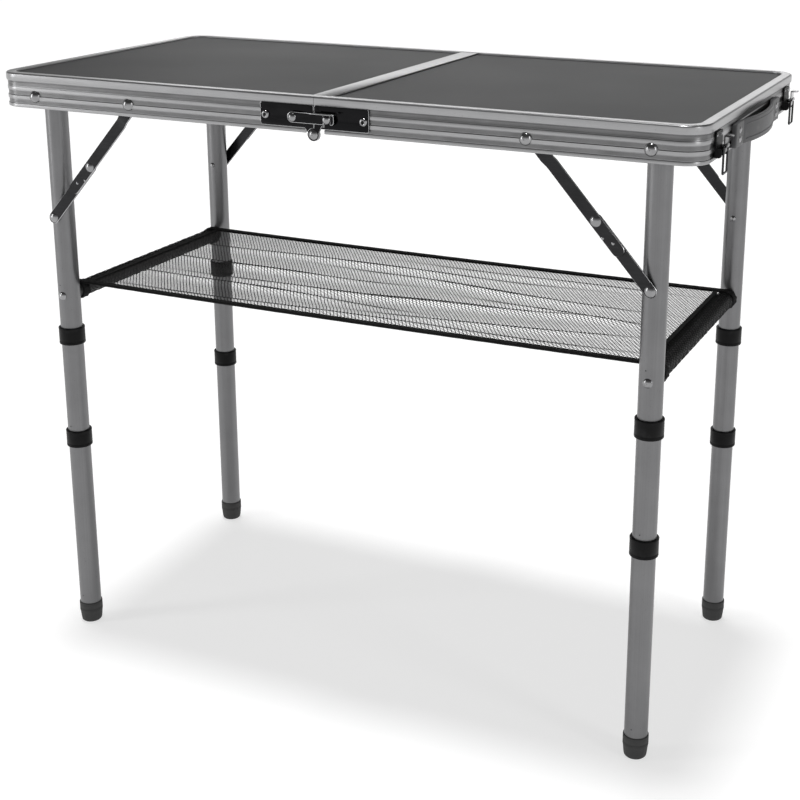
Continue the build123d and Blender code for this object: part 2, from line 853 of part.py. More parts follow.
def upper_link():
    """Link from the rim pivot past the knee, joggled outwards near the rim."""
    half = link_width / 2
    flat_from = joggle_start + joggle_length
    side = make_face(
        Polyline(
            (-half, -joggle_outer), (joggle_start, -joggle_outer), (flat_from, -upper_link_outer),
            (upper_link_length + link_tail + half, -upper_link_outer),
            (upper_link_length + link_tail + half, -upper_link_inner), (flat_from, -upper_link_inner),
            (joggle_start, -joggle_outer + link_thickness), (-half, -joggle_outer + link_thickness),
            close=True,
        )
    )
    strip = extrude(Pos(0, 0, -half) * side, link_width)
    face = link_face(upper_link_length, link_tail)
    link = strip & front_slab(face, upper_link_inner - CUT, joggle_outer + CUT)
    bore = brace_rivet_radius + running_clearance
    link -= rod_y(0, 0, -joggle_outer - CUT, -upper_link_inner, bore)
    link -= rod_y(upper_link_length, 0, -joggle_outer, -upper_link_inner + CUT, brace_rivet_radius)
    return along_brace(link, brace_x, leg_pivot_z)


def knee_rivet():
    """Knee rivet fixed in the upper link; the lower link turns on it."""
    rivet = headed_rivet(
        brace_head_radius,
        brace_head_height,
        [
            (brace_rivet_radius, upper_link_outer - lower_link_inner + rest_gap / 2),
            (knee_tail_radius, knee_tail_length),
        ],
    )
    return facing_front(rivet, knee_x, upper_link_outer, knee_z)


def lower_link():
    """Link from the knee to the leg."""
    link = front_slab(link_face(lower_link_length, 0), lower_link_inner, lower_link_outer)
    y_from, y_to = -lower_link_outer - CUT, -lower_link_inner + CUT
    link -= rod_y(0, 0, y_from, y_to, brace_rivet_radius + running_clearance)
    link -= rod_y(lower_link_length, 0, y_from, y_to, brace_rivet_radius)
    return along_brace(link, knee_x, knee_z)


def ankle_rivet():
    """Rivet fixed in the lower link at the leg; its shank stops short of the tube."""
    shank = lower_link_outer - tube_outside - 2 * rest_gap
    rivet = headed_rivet(brace_head_radius, brace_head_height, [(brace_rivet_radius, shank)])
    return facing_front(rivet, leg_x, lower_link_outer, ankle_z)


# --- Shelf ------------------------------------------------------------------

def shelf_mesh():
    """Mesh shelf, a thin sheet over the two cross tubes."""
    low = cross_tube_height + cross_tube_radius + shelf_clearance
    half_mesh = shelf_width / 2 - binding_width
    return block(-leg_x, leg_x, -half_mesh, half_mesh, low, low + shelf_thickness)


def shelf_bindings():
    """Webbing tapes sewn along the front and rear edges of the mesh."""
    low = cross_tube_height + cross_tube_radius + shelf_clearance
    outer = -shelf_width / 2
    tape = block(-leg_x, leg_x, outer, outer + binding_width, low, low + binding_thickness)
    return front_rear(tape)


# --- Assembly ---------------------------------------------------------------

def leg_nodes():
    """Leg frames, extension sections and braces, by node name."""
    nodes = {}
    frame = {
        "leg_tubes": front_rear(leg_tube()),
        "cross_tube": cross_tube(),
        "leg_rivets": front_rear(leg_rivets()),
    }
    for name, shape in frame.items():
        nodes["right_" + name] = shape
        nodes["left_" + name] = left(shape)
    corner = {
        "middle_collar": collar(upper_collar_height),
        "middle_tube": middle_tube(),
        "lower_collar": collar(lower_collar_height),
        "lower_tube": lower_tube(),
        "foot": foot(),
        "upper_link": group(upper_link(), knee_rivet()),
        "lower_link": group(lower_link(), ankle_rivet()),
    }
    for name, shape in corner.items():
        nodes["front_right_" + name] = shape
        nodes["front_left_" + name] = left(shape)
        nodes["rear_right_" + name] = rear(shape)
        nodes["rear_left_" + name] = rear(left(shape))
    return nodes


def top_nodes():
    """The two halves of the top and everything fixed to them, by node name."""
    rim = right_rim()
    rivets = front_rear(top_pivot_rivets())
    return {
        "right_rim": rim,
        "left_rim": left(rim),
        "right_panel": right_panel(),
        "left_panel": left_panel(),
        "right_seam_profile": right_seam_profile(),
        "left_seam_profile": left_seam_profile(),
        "right_pivot_rivets": rivets,
        "left_pivot_rivets": left(rivets),
        "left_hinge_plates": front_rear(left_hinge_plate()),
        "right_hinge_plates": front_rear(right_hinge_plate()),
        "hinge_pins": front_rear(hinge_pin()),
        "left_plate_rivets": front_rear(
            group(plate_rivet(-plate_length + plate_rivet_inset), lock_pivot_rivet())
        ),
        "right_plate_rivets": front_rear(
            group(plate_rivet(plate_length - plate_rivet_inset), lock_stud())
        ),
        "handle_strap": handle_strap(),
        "handle_rivets": handle_rivets(),
        "latch_keepers": front_rear(latch_keeper()),
        "shelf_mesh": shelf_mesh(),
        "shelf_bindings": shelf_bindings(),
    }


def fitting_nodes():
    """Lock bars and toggle latches, by node name."""
    nodes = {"latch_bases": front_rear(group(latch_base(), latch_pin()))}
    moving = {"lock_bar": lock_bar(), "latch_lever": latch_lever(), "latch_bail": latch_bail()}
    for name, shape in moving.items():
        nodes["front_" + name] = shape
        nodes["rear_" + name] = rear(shape)
    return nodes


def main():
    os.makedirs("parts", exist_ok=True)
    nodes = {**top_nodes(), **fitting_nodes(), **leg_nodes()}
    for name, shape in nodes.items():
        export_step(shape, f"parts/{name}.step")
    print(len(nodes), "nodes")


main()
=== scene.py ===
import logging
import math
from dataclasses import dataclass, field
from enum import Enum
from itertools import product
from typing import Any, Callable, Iterable, Sequence

import bmesh
import bpy
import numpy as np
from mathutils import Matrix, Vector


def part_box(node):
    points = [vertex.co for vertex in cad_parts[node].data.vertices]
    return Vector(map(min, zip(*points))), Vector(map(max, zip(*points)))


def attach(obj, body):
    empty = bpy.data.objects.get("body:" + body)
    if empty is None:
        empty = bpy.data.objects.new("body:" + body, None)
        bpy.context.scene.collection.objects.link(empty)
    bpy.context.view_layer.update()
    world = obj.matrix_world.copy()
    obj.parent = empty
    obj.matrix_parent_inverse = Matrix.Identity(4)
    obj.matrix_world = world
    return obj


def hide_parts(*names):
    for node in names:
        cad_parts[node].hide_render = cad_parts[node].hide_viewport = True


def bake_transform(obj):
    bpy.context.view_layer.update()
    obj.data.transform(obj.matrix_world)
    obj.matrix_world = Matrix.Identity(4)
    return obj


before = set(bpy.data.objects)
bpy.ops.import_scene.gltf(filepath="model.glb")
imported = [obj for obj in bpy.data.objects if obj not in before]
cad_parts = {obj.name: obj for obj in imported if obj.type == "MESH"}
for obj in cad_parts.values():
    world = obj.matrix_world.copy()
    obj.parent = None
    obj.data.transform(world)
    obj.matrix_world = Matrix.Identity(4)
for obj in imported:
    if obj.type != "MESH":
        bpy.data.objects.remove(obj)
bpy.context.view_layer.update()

LOG = logging.getLogger("camp_table")
MM = 0.001
Point = tuple[float, float, float]
Colour = tuple[float, float, float]
Mesh = bpy.types.Mesh
Object = bpy.types.Object
Socket = bpy.types.NodeSocket


def mm(values: Iterable[Any]) -> list[Any]:
    """Lengths or points given in millimetres, in metres."""
    return (np.array(list(values), float) * MM).tolist()


def add_node(
    tree: bpy.types.NodeTree, kind: str, settings: dict[str, Any], sockets: dict[Any, Any]
) -> bpy.types.Node:
    """Add one node to a tree.

    Args:
        tree: The tree.
        kind: The node's type.
        settings: What is set on the node itself, first.
        sockets: The value of each input, or the socket that is linked to it.

    Returns:
        The node.
    """
    made = tree.nodes.new(kind)
    for key, setting in settings.items():
        setattr(made, key, setting)
    for key, given in sockets.items():
        if isinstance(given, Socket):
            tree.links.new(given, made.inputs[key])
        else:
            made.inputs[key].default_value = given
    return made


# --- Shader maths -----------------------------------------------------------


class Value:
    """A number, vector or colour socket of a material, used in plain arithmetic."""

    def __init__(self, ink: "Ink", socket: Socket) -> None:
        """Keep the material's ink and the socket that holds the value."""
        self.ink = ink
        self.socket = socket

    def _math(self, operation: str, first: Any, second: Any) -> "Value":
        """Join two values with one Math node."""
        return self.ink.node("ShaderNodeMath", {"operation": operation}, {0: first, 1: second})

    def __add__(self, other: Any) -> "Value":
        """Sum of this value and another."""
        return self._math("ADD", self, other)

    __radd__ = __add__

    def __mul__(self, other: Any) -> "Value":
        """Product of this value and another."""
        return self._math("MULTIPLY", self, other)

    __rmul__ = __mul__

    def __sub__(self, other: Any) -> "Value":
        """This value less another."""
        return self._math("SUBTRACT", self, other)

    def __rsub__(self, other: Any) -> "Value":
        """Another value less this one."""
        return self._math("SUBTRACT", other, self)

    def peak(self, other: Any) -> "Value":
        """The larger of this value and another."""
        return self._math("MAXIMUM", self, other)

    def between(self, low: float, high: float) -> "Value":
        """Smooth step of this value.

        Args:
            low: The value that becomes 0.
            high: The value that becomes 1.

        Returns:
            A value from 0 to 1.
        """
        settings = {"interpolation_type": "SMOOTHSTEP"}
        return self.ink.node("ShaderNodeMapRange", settings, {0: self, 1: low, 2: high})


class Ink:
    """The node tree of one material."""

    def __init__(self, name: str) -> None:
        """Start an empty material.

        Args:
            name: Its name.
        """
        self.material = bpy.data.materials.new(name)
        self.material.use_nodes = True
        self.tree = self.material.node_tree
        self.tree.nodes.clear()

    def node(
        self,
        kind: str,
        settings: dict[str, Any] | None = None,
        sockets: dict[Any, Any] | None = None,
        output: Any = 0,
    ) -> Value:
        """Make one node.

        Args:
            kind: The node's type.
            settings: What is set on the node itself, first.
            sockets: The value or the link of each input.
            output: The output that is wanted.

        Returns:
            That output as a value.
        """
        given = {
            key: item.socket if isinstance(item, Value) else item
            for key, item in (sockets or {}).items()
        }
        made = add_node(self.tree, kind, settings or {}, given)
        return Value(self, made.outputs[output])

    def place(self, scale: Point = (1.0, 1.0, 1.0)) -> Value:
        """Object coordinates, stretched by a scale along each axis."""
        raw = self.node("ShaderNodeTexCoord", output="Object")
        return self.node("ShaderNodeMapping", {}, {"Vector": raw, "Scale": scale})

    def cloth(self, scale: Point = (1.0, 1.0, 1.0)) -> Value:
        """The piece's own cloth coordinates, in metres, stretched by a scale."""
        raw = self.node("ShaderNodeUVMap", {"uv_map": "cloth"})
        return self.node("ShaderNodeMapping", {}, {"Vector": raw, "Scale": scale})

    def axis(self, vector: Value, letter: str) -> Value:
        """One part of a vector."""
        return self.node("ShaderNodeSeparateXYZ", {}, {0: vector}, letter)

    def noise(self, vector: Value, scale: float, detail: float = 3.0) -> Value:
        """Cloudy noise from 0 to 1 at a scale in cells per metre."""
        sockets = {"Vector": vector, "Scale": scale, "Detail": detail}
        return self.node("ShaderNodeTexNoise", {}, sockets)

    def blend(self, share: Any, first: Any, second: Any) -> Value:
        """Mix two colours.

        Args:
            share: How much of the second there is, from 0 to 1.
            first: A colour or a value.
            second: A colour or a value.

        Returns:
            The mixed colour.
        """
        tones = [
            (*tone, 1.0) if isinstance(tone, tuple) and len(tone) == 3 else tone
            for tone in (first, second)
        ]
        settings = {"data_type": "RGBA"}
        return self.node("ShaderNodeMix", settings, {0: share, 6: tones[0], 7: tones[1]}, 2)

    def relief(self, height: Value, depth: float, strength: float = 1.0) -> Value:
        """Bump from a height value, with its full depth in metres."""
        sockets = {"Height": height, "Distance": depth, "Strength": strength}
        return self.node("ShaderNodeBump", {}, sockets)

    def finish(self, **sockets: Any) -> bpy.types.Material:
        """Close the material with a Principled shader.

        Args:
            sockets: Values of the shader's sockets, underscores for spaces.

        Returns:
            The finished material.
        """
        named = {key.replace("_", " "): given for key, given in sockets.items()}
        shader = self.node("ShaderNodeBsdfPrincipled", {}, named)
        self.node_out(shader)
        return self.material

    def node_out(self, shader: Value) -> None:
        """Link a shader to the material's output."""
        out = self.tree.nodes.new("ShaderNodeOutputMaterial")
        self.tree.links.new(shader.socket, out.inputs["Surface"])


# --- Finishes ---------------------------------------------------------------


@dataclass(frozen=True)
class Finish:
    """A surface finish: its name, its two tones and how rough it is."""

    name: str
    dark: Colour
    light: Colour
    smooth: float
    rough: float

    def material(self) -> bpy.types.Material:
        """The finish's material, made the first time it is asked for."""
        found = bpy.data.materials.get(self.name)
        return found or self.paint(Ink(self.name))

    def paint(self, ink: Ink) -> bpy.types.Material:
        """Build the material; each kind of finish has its own way."""
        raise NotImplementedError

    def tone(self, ink: Ink, share: Any) -> Value:
        """Colour between the dark and the light tone."""
        return ink.blend(share, self.dark, self.light)

    def gloss(self, share: Value) -> Value:
        """Roughness between the smooth and the rough value."""
        return share * (self.rough - self.smooth) + self.smooth


@dataclass(frozen=True)
class Laminate(Finish):
    """Melamine laminate with a fine pebble grain and a plain backing sheet below."""

    backing: Colour = (0.16, 0.155, 0.15)
    backing_height: float = 0.6722

    def paint(self, ink: Ink) -> bpy.types.Material:
        """Speckled face, backing on the underside, pebbled bump.

        Args:
            ink: The node tree of the material.

        Returns:
            The material.
        """
        where = ink.place()
        grain = ink.noise(where, 1500.0, 2.0)
        cloud = ink.noise(where, 7.0, 2.0)
        rub = ink.noise(ink.place((60.0, 900.0, 1.0)), 1.0, 3.0)
        face = self.tone(ink, grain * 0.55 + cloud * 0.3 + rub * 0.15)
        under = 1.0 - ink.axis(where, "Z").between(self.backing_height, self.backing_height + 0.0006)
        fibres = ink.blend(rub, self.backing, tuple(0.75 * part for part in self.backing))
        colour = ink.blend(under, face, fibres)
        return ink.finish(
            Base_Color=colour,
            Roughness=self.gloss(cloud * 0.6 + grain * 0.4) + under * 0.25,
            Specular_IOR_Level=0.17,
            Normal=ink.relief(grain + rub * 0.3, 0.00006, 0.5),
        )


class Run(Enum):
    """Direction of the fine drawing lines left on a metal surface."""

    LEVEL = (9.0, 9.0, 2600.0)
    UPRIGHT = (1500.0, 1500.0, 5.0)


@dataclass(frozen=True)
class Drawn(Finish):
    """Satin metal with fine drawing lines, faint handling marks, small nicks and painted shade in given
    hollows.
    """

    run: Run = Run.LEVEL
    metallic: float = 1.0
    depth: float = 0.00003
    # Height ranges where painted shade darkens the colour, standing for the shade in the section's recesses.
    hollows: tuple[tuple[float, float], ...] = ()

    def paint(self, ink: Ink) -> bpy.types.Material:
        """Drawing lines in colour, gloss and relief, broken up by handling marks, with painted shade in the
        hollows.

        Args:
            ink: The node tree of the material.

        Returns:
            The material.
        """
        lines = ink.noise(ink.place(self.run.value), 1.0, 4.0)
        marks = ink.noise(ink.place(), 38.0, 5.0)
        nicks = ink.noise(ink.place((1.0, 1.0, 1.6)), 620.0, 1.0).between(0.70, 0.80)
        share = lines * 0.55 + marks * 0.45
        colour = ink.blend(nicks * 0.5, self.tone(ink, share), tuple(0.6 * t for t in self.dark))
        # Painted shade: the colour darkens in the given height bands, where the rim's hollows lie.
        if self.hollows:
            height = ink.axis(ink.place(), "Z")
            soft = 0.0004
            bands = [
                height.between(low, low + soft) * (1.0 - height.between(high - soft, high))
                for low, high in self.hollows
            ]
            shade = bands[0]
            for band in bands[1:]:
                shade = shade.peak(band)
            painted_hollow_shade = shade * (marks * 0.5 + 0.4)
            colour = ink.blend(painted_hollow_shade, colour, tuple(0.28 * t for t in self.dark))
        return ink.finish(
            Base_Color=colour,
            Metallic=self.metallic,
            Roughness=self.gloss(lines * 0.5 + marks * 0.5) + nicks * 0.15,
            Normal=ink.relief(lines - nicks * 0.6, self.depth, 0.45),
        )


@dataclass(frozen=True)
class Plated(Finish):
    """Polished plated steel with a soft haze of fingerprints and hair scratches."""

    metallic: float = 1.0

    def paint(self, ink: Ink) -> bpy.types.Material:
        """Haze in the gloss and hair scratches in the relief.

        Args:
            ink: The node tree of the material.

        Returns:
            The material.
        """
        haze = ink.noise(ink.place(), 90.0, 4.0)
        hair = ink.noise(ink.place((2200.0, 160.0, 700.0)), 1.0, 2.0)
        return ink.finish(
            Base_Color=self.tone(ink, haze),
            Metallic=self.metallic,
            Roughness=self.gloss(haze * 0.7 + hair * 0.3),
            Normal=ink.relief(hair, 0.00001, 0.25),
        )


@dataclass(frozen=True)
class Enamel(Finish):
    """Glossy dark enamel over steel, with dust and a slight orange peel."""

    coat: float = 1.0
    metallic: float = 0.0

    def paint(self, ink: Ink) -> bpy.types.Material:
        """Orange peel in the relief, dust and rub marks in colour and gloss.

        Args:
            ink: The node tree of the material.

        Returns:
            The material.
        """
        where = ink.place()
        peel = ink.noise(where, 420.0, 2.0)
        dust = ink.noise(where, 2600.0, 2.0).between(0.66, 0.78)
        rub = ink.noise(where, 55.0, 4.0)
        colour = ink.blend(dust * 0.35 + rub * 0.3, self.dark, self.light)
        return ink.finish(
            Base_Color=colour,
            Metallic=self.metallic,
            Roughness=self.gloss(rub) + dust * 0.2,
            Coat_Weight=self.coat,
            Coat_Roughness=0.06,
            Normal=ink.relief(peel, 0.00004, 0.25),
        )


@dataclass(frozen=True)
class Moulded(Finish):
    """Moulded plastic or rubber with a spark-eroded grain and scuffed high spots."""

    grain: float = 1900.0
    depth: float = 0.00008
    shine: float = 0.2

    def paint(self, ink: Ink) -> bpy.types.Material:
        """Grain in the relief, scuffs in colour and gloss.

        Args:
            ink: The node tree of the material.

        Returns:
            The material.
        """
        where = ink.place()
        grain = ink.noise(where, self.grain, 2.0)
        scuff = ink.noise(where, 75.0, 5.0)
        worn = scuff.between(0.52, 0.75)
        return ink.finish(
            Base_Color=self.tone(ink, worn * 0.7 + grain * 0.3),
            Roughness=self.gloss(scuff * 0.5 + grain * 0.5),
            Specular_IOR_Level=self.shine,
            Normal=ink.relief(grain + scuff * 0.5, self.depth, 0.6),
        )


@dataclass(frozen=True)
class Woven(Finish):
    """Twill webbing on the piece's own cloth coordinates."""

    rib: float = 0.0011

    def paint(self, ink: Ink) -> bpy.types.Material:
        """Diagonal twill ribs crossed by finer yarns, with lint.

        Args:
            ink: The node tree of the material.

        Returns:
            The material.
        """
        turn = math.pi / self.rib / 3.2
        diagonal = ink.node(
            "ShaderNodeTexWave",
            {"bands_direction": "DIAGONAL"},
            {"Vector": ink.cloth(), "Scale": turn, "Distortion": 0.4, "Detail": 1.0},
            "Fac",
        )
        across = ink.node(
            "ShaderNodeTexWave",
            {"bands_direction": "X"},
            {"Vector": ink.cloth(), "Scale": turn * 0.5, "Distortion": 0.2, "Detail": 1.0},
            "Fac",
        )
        lint = ink.noise(ink.cloth(), 2400.0, 3.0)
        weave = diagonal * 0.7 + across * 0.3
        return ink.finish(
            Base_Color=self.tone(ink, weave * 0.6 + lint * 0.4),
            Roughness=self.gloss(lint),
            Specular_IOR_Level=0.1,
            Normal=ink.relief(weave + lint * 0.2, 0.00025, 0.8),
        )


@dataclass(frozen=True)
class Yarn(Finish):
    """Twisted polyester yarn of the mesh and of the stitches."""

    def paint(self, ink: Ink) -> bpy.types.Material:
        """Fine twist in the relief and a dry sheen in the gloss.

        Args:
            ink: The node tree of the material.

        Returns:
            The material.
        """
        twist = ink.noise(ink.place((1400.0, 3600.0, 1400.0)), 1.0, 2.0)
        tint = ink.noise(ink.place(), 60.0, 2.0)
        return ink.finish(
            Base_Color=self.tone(ink, twist * 0.6 + tint * 0.4),
            Roughness=self.gloss(twist),
            Specular_IOR_Level=0.1,
            Normal=ink.relief(twist, 0.00008, 0.5),
        )


@dataclass(frozen=True)
class Backdrop(Finish):
    """Plain pale studio floor, lit from within like a light table."""

    glow: float = 0.62

    def paint(self, ink: Ink) -> bpy.types.Material:
        """Very faint clouding only.

        Args:
            ink: The node tree of the material.

        Returns:
            The material.
        """
        cloud = ink.noise(ink.place(), 0.8, 2.0)
        return ink.finish(
            Base_Color=self.tone(ink, cloud),
            Roughness=self.gloss(cloud),
            Specular_IOR_Level=0.0,
            Emission_Color=(1.0, 1.0, 1.0, 1.0),
            Emission_Strength=self.glow,
        )


LAMINATE = Laminate("dark_laminate", (0.014, 0.0143, 0.0148), (0.034, 0.0343, 0.035), 0.46, 0.6)
# Heights of the rim's hollows, where painted shade darkens the rim's colour.
HOLLOWS = ((0.6449, 0.6492), (0.6543, 0.6587), (0.6638, 0.6693))
RIM = Drawn("satin_rim", (0.25, 0.25, 0.254), (0.41, 0.41, 0.415), 0.24, 0.4, hollows=HOLLOWS)
TUBE = Drawn("drawn_tube", (0.13, 0.13, 0.133), (0.23, 0.23, 0.234), 0.28, 0.44, run=Run.UPRIGHT)
CROSS = Enamel("black_tube", (0.05, 0.05, 0.05), (0.11, 0.11, 0.11), 0.3, 0.45, coat=0.8)
CHROME = Plated("bright_rivet", (0.2, 0.2, 0.205), (0.36, 0.36, 0.365), 0.1, 0.24)
WIRE = Plated("dull_wire", (0.02, 0.02, 0.021), (0.055, 0.055, 0.057), 0.14, 0.3)
LEVER = Plated("lever_steel", (0.022, 0.022, 0.023), (0.06, 0.06, 0.062), 0.12, 0.28)
# Painted light: the rear lever gets this bright tone and the identical front lever a dark one, lit and
# shaded copies of one part.
TIP = Plated("painted_lit_lever", (0.3, 0.3, 0.305), (0.5, 0.5, 0.51), 0.1, 0.25)
PLATE = Enamel(
    "black_plate", (0.009, 0.009, 0.0095), (0.032, 0.032, 0.034), 0.1, 0.2, coat=0.0, metallic=1.0
)
BRACE = Drawn(
    "dark_brace", (0.008, 0.008, 0.0085), (0.05, 0.05, 0.052), 0.16, 0.34, run=Run.LEVEL
)
# Painted highlight: bright colour put on rounded and chamfered edges for the light that they catch.
GLINT = Plated("painted_edge_highlight", (0.4, 0.4, 0.405), (0.62, 0.62, 0.63), 0.14, 0.3)
# Painted shade: near-black colour for the rivet cores and the punch pits, standing for the shade in their
# holes.
EYE = Moulded("painted_pit_shade", (0.006, 0.006, 0.006), (0.03, 0.03, 0.03), 0.4, 0.6)
STRAP = Moulded("grey_handle", (0.055, 0.055, 0.057), (0.1, 0.1, 0.103), 0.32, 0.52)
CUP = Moulded(
    "black_collar", (0.003, 0.003, 0.0032), (0.014, 0.014, 0.0145), 0.34, 0.52, shine=0.1
)
RUBBER = Moulded(
    "foot_rubber", (0.0008, 0.0008, 0.0008), (0.004, 0.004, 0.004), 0.6, 0.85,
    grain=1200.0, depth=0.00015, shine=0.02,
)
WEBBING = Woven("black_webbing", (0.005, 0.005, 0.005), (0.024, 0.024, 0.024), 0.65, 0.9)
NET = Yarn("black_net", (0.006, 0.006, 0.006), (0.026, 0.026, 0.026), 0.5, 0.75)
THREAD = Yarn("stitch_thread", (0.02, 0.02, 0.02), (0.075, 0.075, 0.075), 0.45, 0.65)
FLOOR = Backdrop("pale_floor", (0.5, 0.5, 0.5), (0.52, 0.52, 0.52), 0.7, 0.8)


# --- Mesh work --------------------------------------------------------------


def keep(
    name: str, mesh: Mesh, finish: Finish | None = None, angle: float = 32.0
) -> Object:
    """Make an object from a mesh, with smooth faces and sharp corners.

    Args:
        name: The piece's name.
        mesh: Its mesh, in place.
        finish: Its finish, or None where the mesh has its materials already.
        angle: Edges turned by more than this many degrees stay sharp.

    Returns:
        The object, at the origin.
    """
    mesh.name = name
    if finish is not None:
        mesh.materials.clear()
        mesh.materials.append(finish.material())
    mesh.polygons.foreach_set("use_smooth", [True] * len(mesh.polygons))
    mesh.set_sharp_from_angle(angle=math.radians(angle))
    made = bpy.data.objects.new(name, mesh)
    bpy.context.scene.collection.objects.link(made)
    LOG.info("piece %s has %d faces", name, len(mesh.polygons))
    return made


def mesh_of(corners: Iterable[Sequence[float]], faces: Iterable[Sequence[int]]) -> Mesh:
    """Make a mesh with its doubles merged and its faces turned outwards.

    Args:
        corners: Its corners, in metres.
        faces: The corners of each face.

    Returns:
        The mesh.
    """
    mesh = bpy.data.meshes.new("work")
    mesh.from_pydata([tuple(map(float, c)) for c in corners], [], [tuple(f) for f in faces])
    tidy(mesh)
    return mesh


def tidy(mesh: Mesh, flat: bool = False) -> None:
    """Merge doubles and turn faces outwards.

    Args:
        mesh: The mesh that is changed.
        flat: Whether coplanar triangles are joined too.
    """
    work = bmesh.new()
    work.from_mesh(mesh)
    bmesh.ops.remove_doubles(work, verts=work.verts, dist=2e-6)
    if flat:
        bmesh.ops.dissolve_limit(
            work, angle_limit=math.radians(0.6), verts=work.verts, edges=work.edges
        )
    bmesh.ops.recalc_face_normals(work, faces=work.faces)
    work.to_mesh(mesh)
    work.free()


def solid_mesh(piece: Object) -> Mesh:
    """Take the mesh of an object and remove the object.

    Args:
        piece: The object, with its modifiers.

    Returns:
        Its mesh with the modifiers worked in.
    """
    reach = bpy.context.evaluated_depsgraph_get()
    mesh = bpy.data.meshes.new_from_object(piece.evaluated_get(reach))
    bpy.data.objects.remove(piece)
    return mesh


def softened(
    mesh: Mesh,
    width: float,
    steps: int = 2,
    angle: float = 40.0,
    tones: Sequence[Finish] = (),
) -> Mesh:
    """Round the hard edges of a mesh.

    Args:
        mesh: The mesh.
        width: Width of the rounding, in metres.
        steps: How many faces it has.
        angle: Edges turned by more than this many degrees are rounded.
        tones: Finish of the faces and of the roundings, where they differ.

    Returns:
        The new mesh.
    """
    for tone in tones:
        mesh.materials.append(tone.material())
    work = bpy.data.objects.new("work", mesh)
    bpy.context.scene.collection.objects.link(work)
    bevel = work.modifiers.new("soften", "BEVEL")
    bevel.material = len(tones) - 1
    bevel.width = width
    bevel.segments = steps
    bevel.limit_method = "ANGLE"
    bevel.angle_limit = math.radians(angle)
    bevel.use_clamp_overlap = not tones
    return solid_mesh(work)


def joined(meshes: Sequence[Mesh]) -> Mesh:
    """Join meshes and keep their materials.

    Args:
        meshes: The meshes.

    Returns:
        One mesh.
    """
    work = bmesh.new()
    materials: list[bpy.types.Material] = []
    for mesh in meshes:
        start = len(work.faces)
        work.from_mesh(mesh)
        work.faces.ensure_lookup_table()
        places = []
        for material in mesh.materials:
            if material not in materials:
                materials.append(material)
            places.append(materials.index(material))
        for face in work.faces[start:]:
            face.material_index = places[face.material_index] if places else 0
    whole = bpy.data.meshes.new("work")
    work.to_mesh(whole)
    work.free()
    for material in materials:
        whole.materials.append(material)
    return whole


def tinted(mesh: Mesh, finish: Finish) -> Mesh:
    """Give a mesh one finish.

    Args:
        mesh: The mesh.
        finish: The finish.

    Returns:
        The same mesh.
    """
    mesh.materials.clear()
    mesh.materials.append(finish.material())
    return mesh


def refined(
    node: str, width: float, steps: int = 2, tones: Sequence[Finish] = ()
) -> Mesh:
    """Copy of a CAD node's mesh with joined flats and rounded edges.

    Args:
        node: The CAD node.
        width: Width of the rounding, in metres.
        steps: How many faces it has.
        tones: Finish of the faces and of the roundings, where they differ.

    Returns:
        The new mesh.
    """
    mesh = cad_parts[node].data.copy()
    mesh.materials.clear()
    tidy(mesh, flat=True)
    return softened(mesh, width, steps, tones=tones)


def lathe(
    profile: Sequence[tuple[float, float]],
    centre: tuple[float, float],
    steps: int = 72,
    lobes: Callable[[float, float], float] | None = None,
) -> Mesh:
    """Turn a closed outline about an upright axis.

    Args:
        profile: (radius, height) corners; the outline closes on itself, or on the
            axis where it starts and ends at radius 0.
        centre: Where the axis stands.
        steps: Number of faces around.
        lobes: Adds to the radius, from the turn angle and the height.

    Returns:
        The turned mesh.
    """
    corners: list[Point] = []
    faces: list[tuple[int, ...]] = []
    count = len(profile)
    for step in range(steps):
        turn = 2 * math.pi * step / steps
        for radius, height in profile:
            wide = radius + (lobes(turn, height) if lobes and radius > 0 else 0.0)
            x, y = centre[0] + wide * math.cos(turn), centre[1] + wide * math.sin(turn)
            corners.append((x, y, height))
    closed = profile[0][0] > 0
    for step in range(steps):
        here, there = step * count, (step + 1) % steps * count
        for i in range(count if closed else count - 1):
            j = (i + 1) % count
            faces.append((here + i, there + i, there + j, here + j))
    work = bpy.data.meshes.new("work")
    work.from_pydata(corners, [], faces)
    rim = bmesh.new()
    rim.from_mesh(work)
    bmesh.ops.remove_doubles(rim, verts=rim.verts, dist=1e-6)
    bmesh.ops.dissolve_degenerate(rim, edges=rim.edges, dist=1e-7)
    bmesh.ops.recalc_face_normals(rim, faces=rim.faces)
    rim.to_mesh(work)
    rim.free()
    return work


def loft(rings: Sequence[Sequence[Point]]) -> Mesh:
    """Skin a row of rings and close its two ends.

    Args:
        rings: The rings, each with the same number of corners.

    Returns:
        The closed mesh.
    """
    size = len(rings[0])
    corners = [corner for ring in rings for corner in ring]
    faces: list[Sequence[int]] = []
    for start in range(0, (len(rings) - 1) * size, size):
        for i in range(size):
            j = (i + 1) % size
            faces.append((start + i, start + j, start + size + j, start + size + i))
    faces += [range(size), range(len(corners) - size, len(corners))]
    return mesh_of(corners, faces)


def dome(radius: float, height: float, shank: float, steps: int = 28) -> Object:
    """Domed head on Z, to be repeated on points.

    Args:
        radius: Its radius.
        height: How far it rises.
        shank: How far its shank goes down.
        steps: Faces around it.

    Returns:
        The head.
    """
    ball = (radius**2 + height**2) / (2 * height)
    sweep = math.asin(min(1.0, radius / ball))
    arc = [
        (ball * math.sin(sweep * k / 7), height - ball + ball * math.cos(sweep * k / 7))
        for k in range(8)
    ]
    foot = radius * 0.55
    outline = arc + [(radius, -0.0002), (foot, -0.0003), (foot, -shank), (0.0, -shank)]
    return pattern_piece("dome", lathe(outline, (0.0, 0.0), steps))


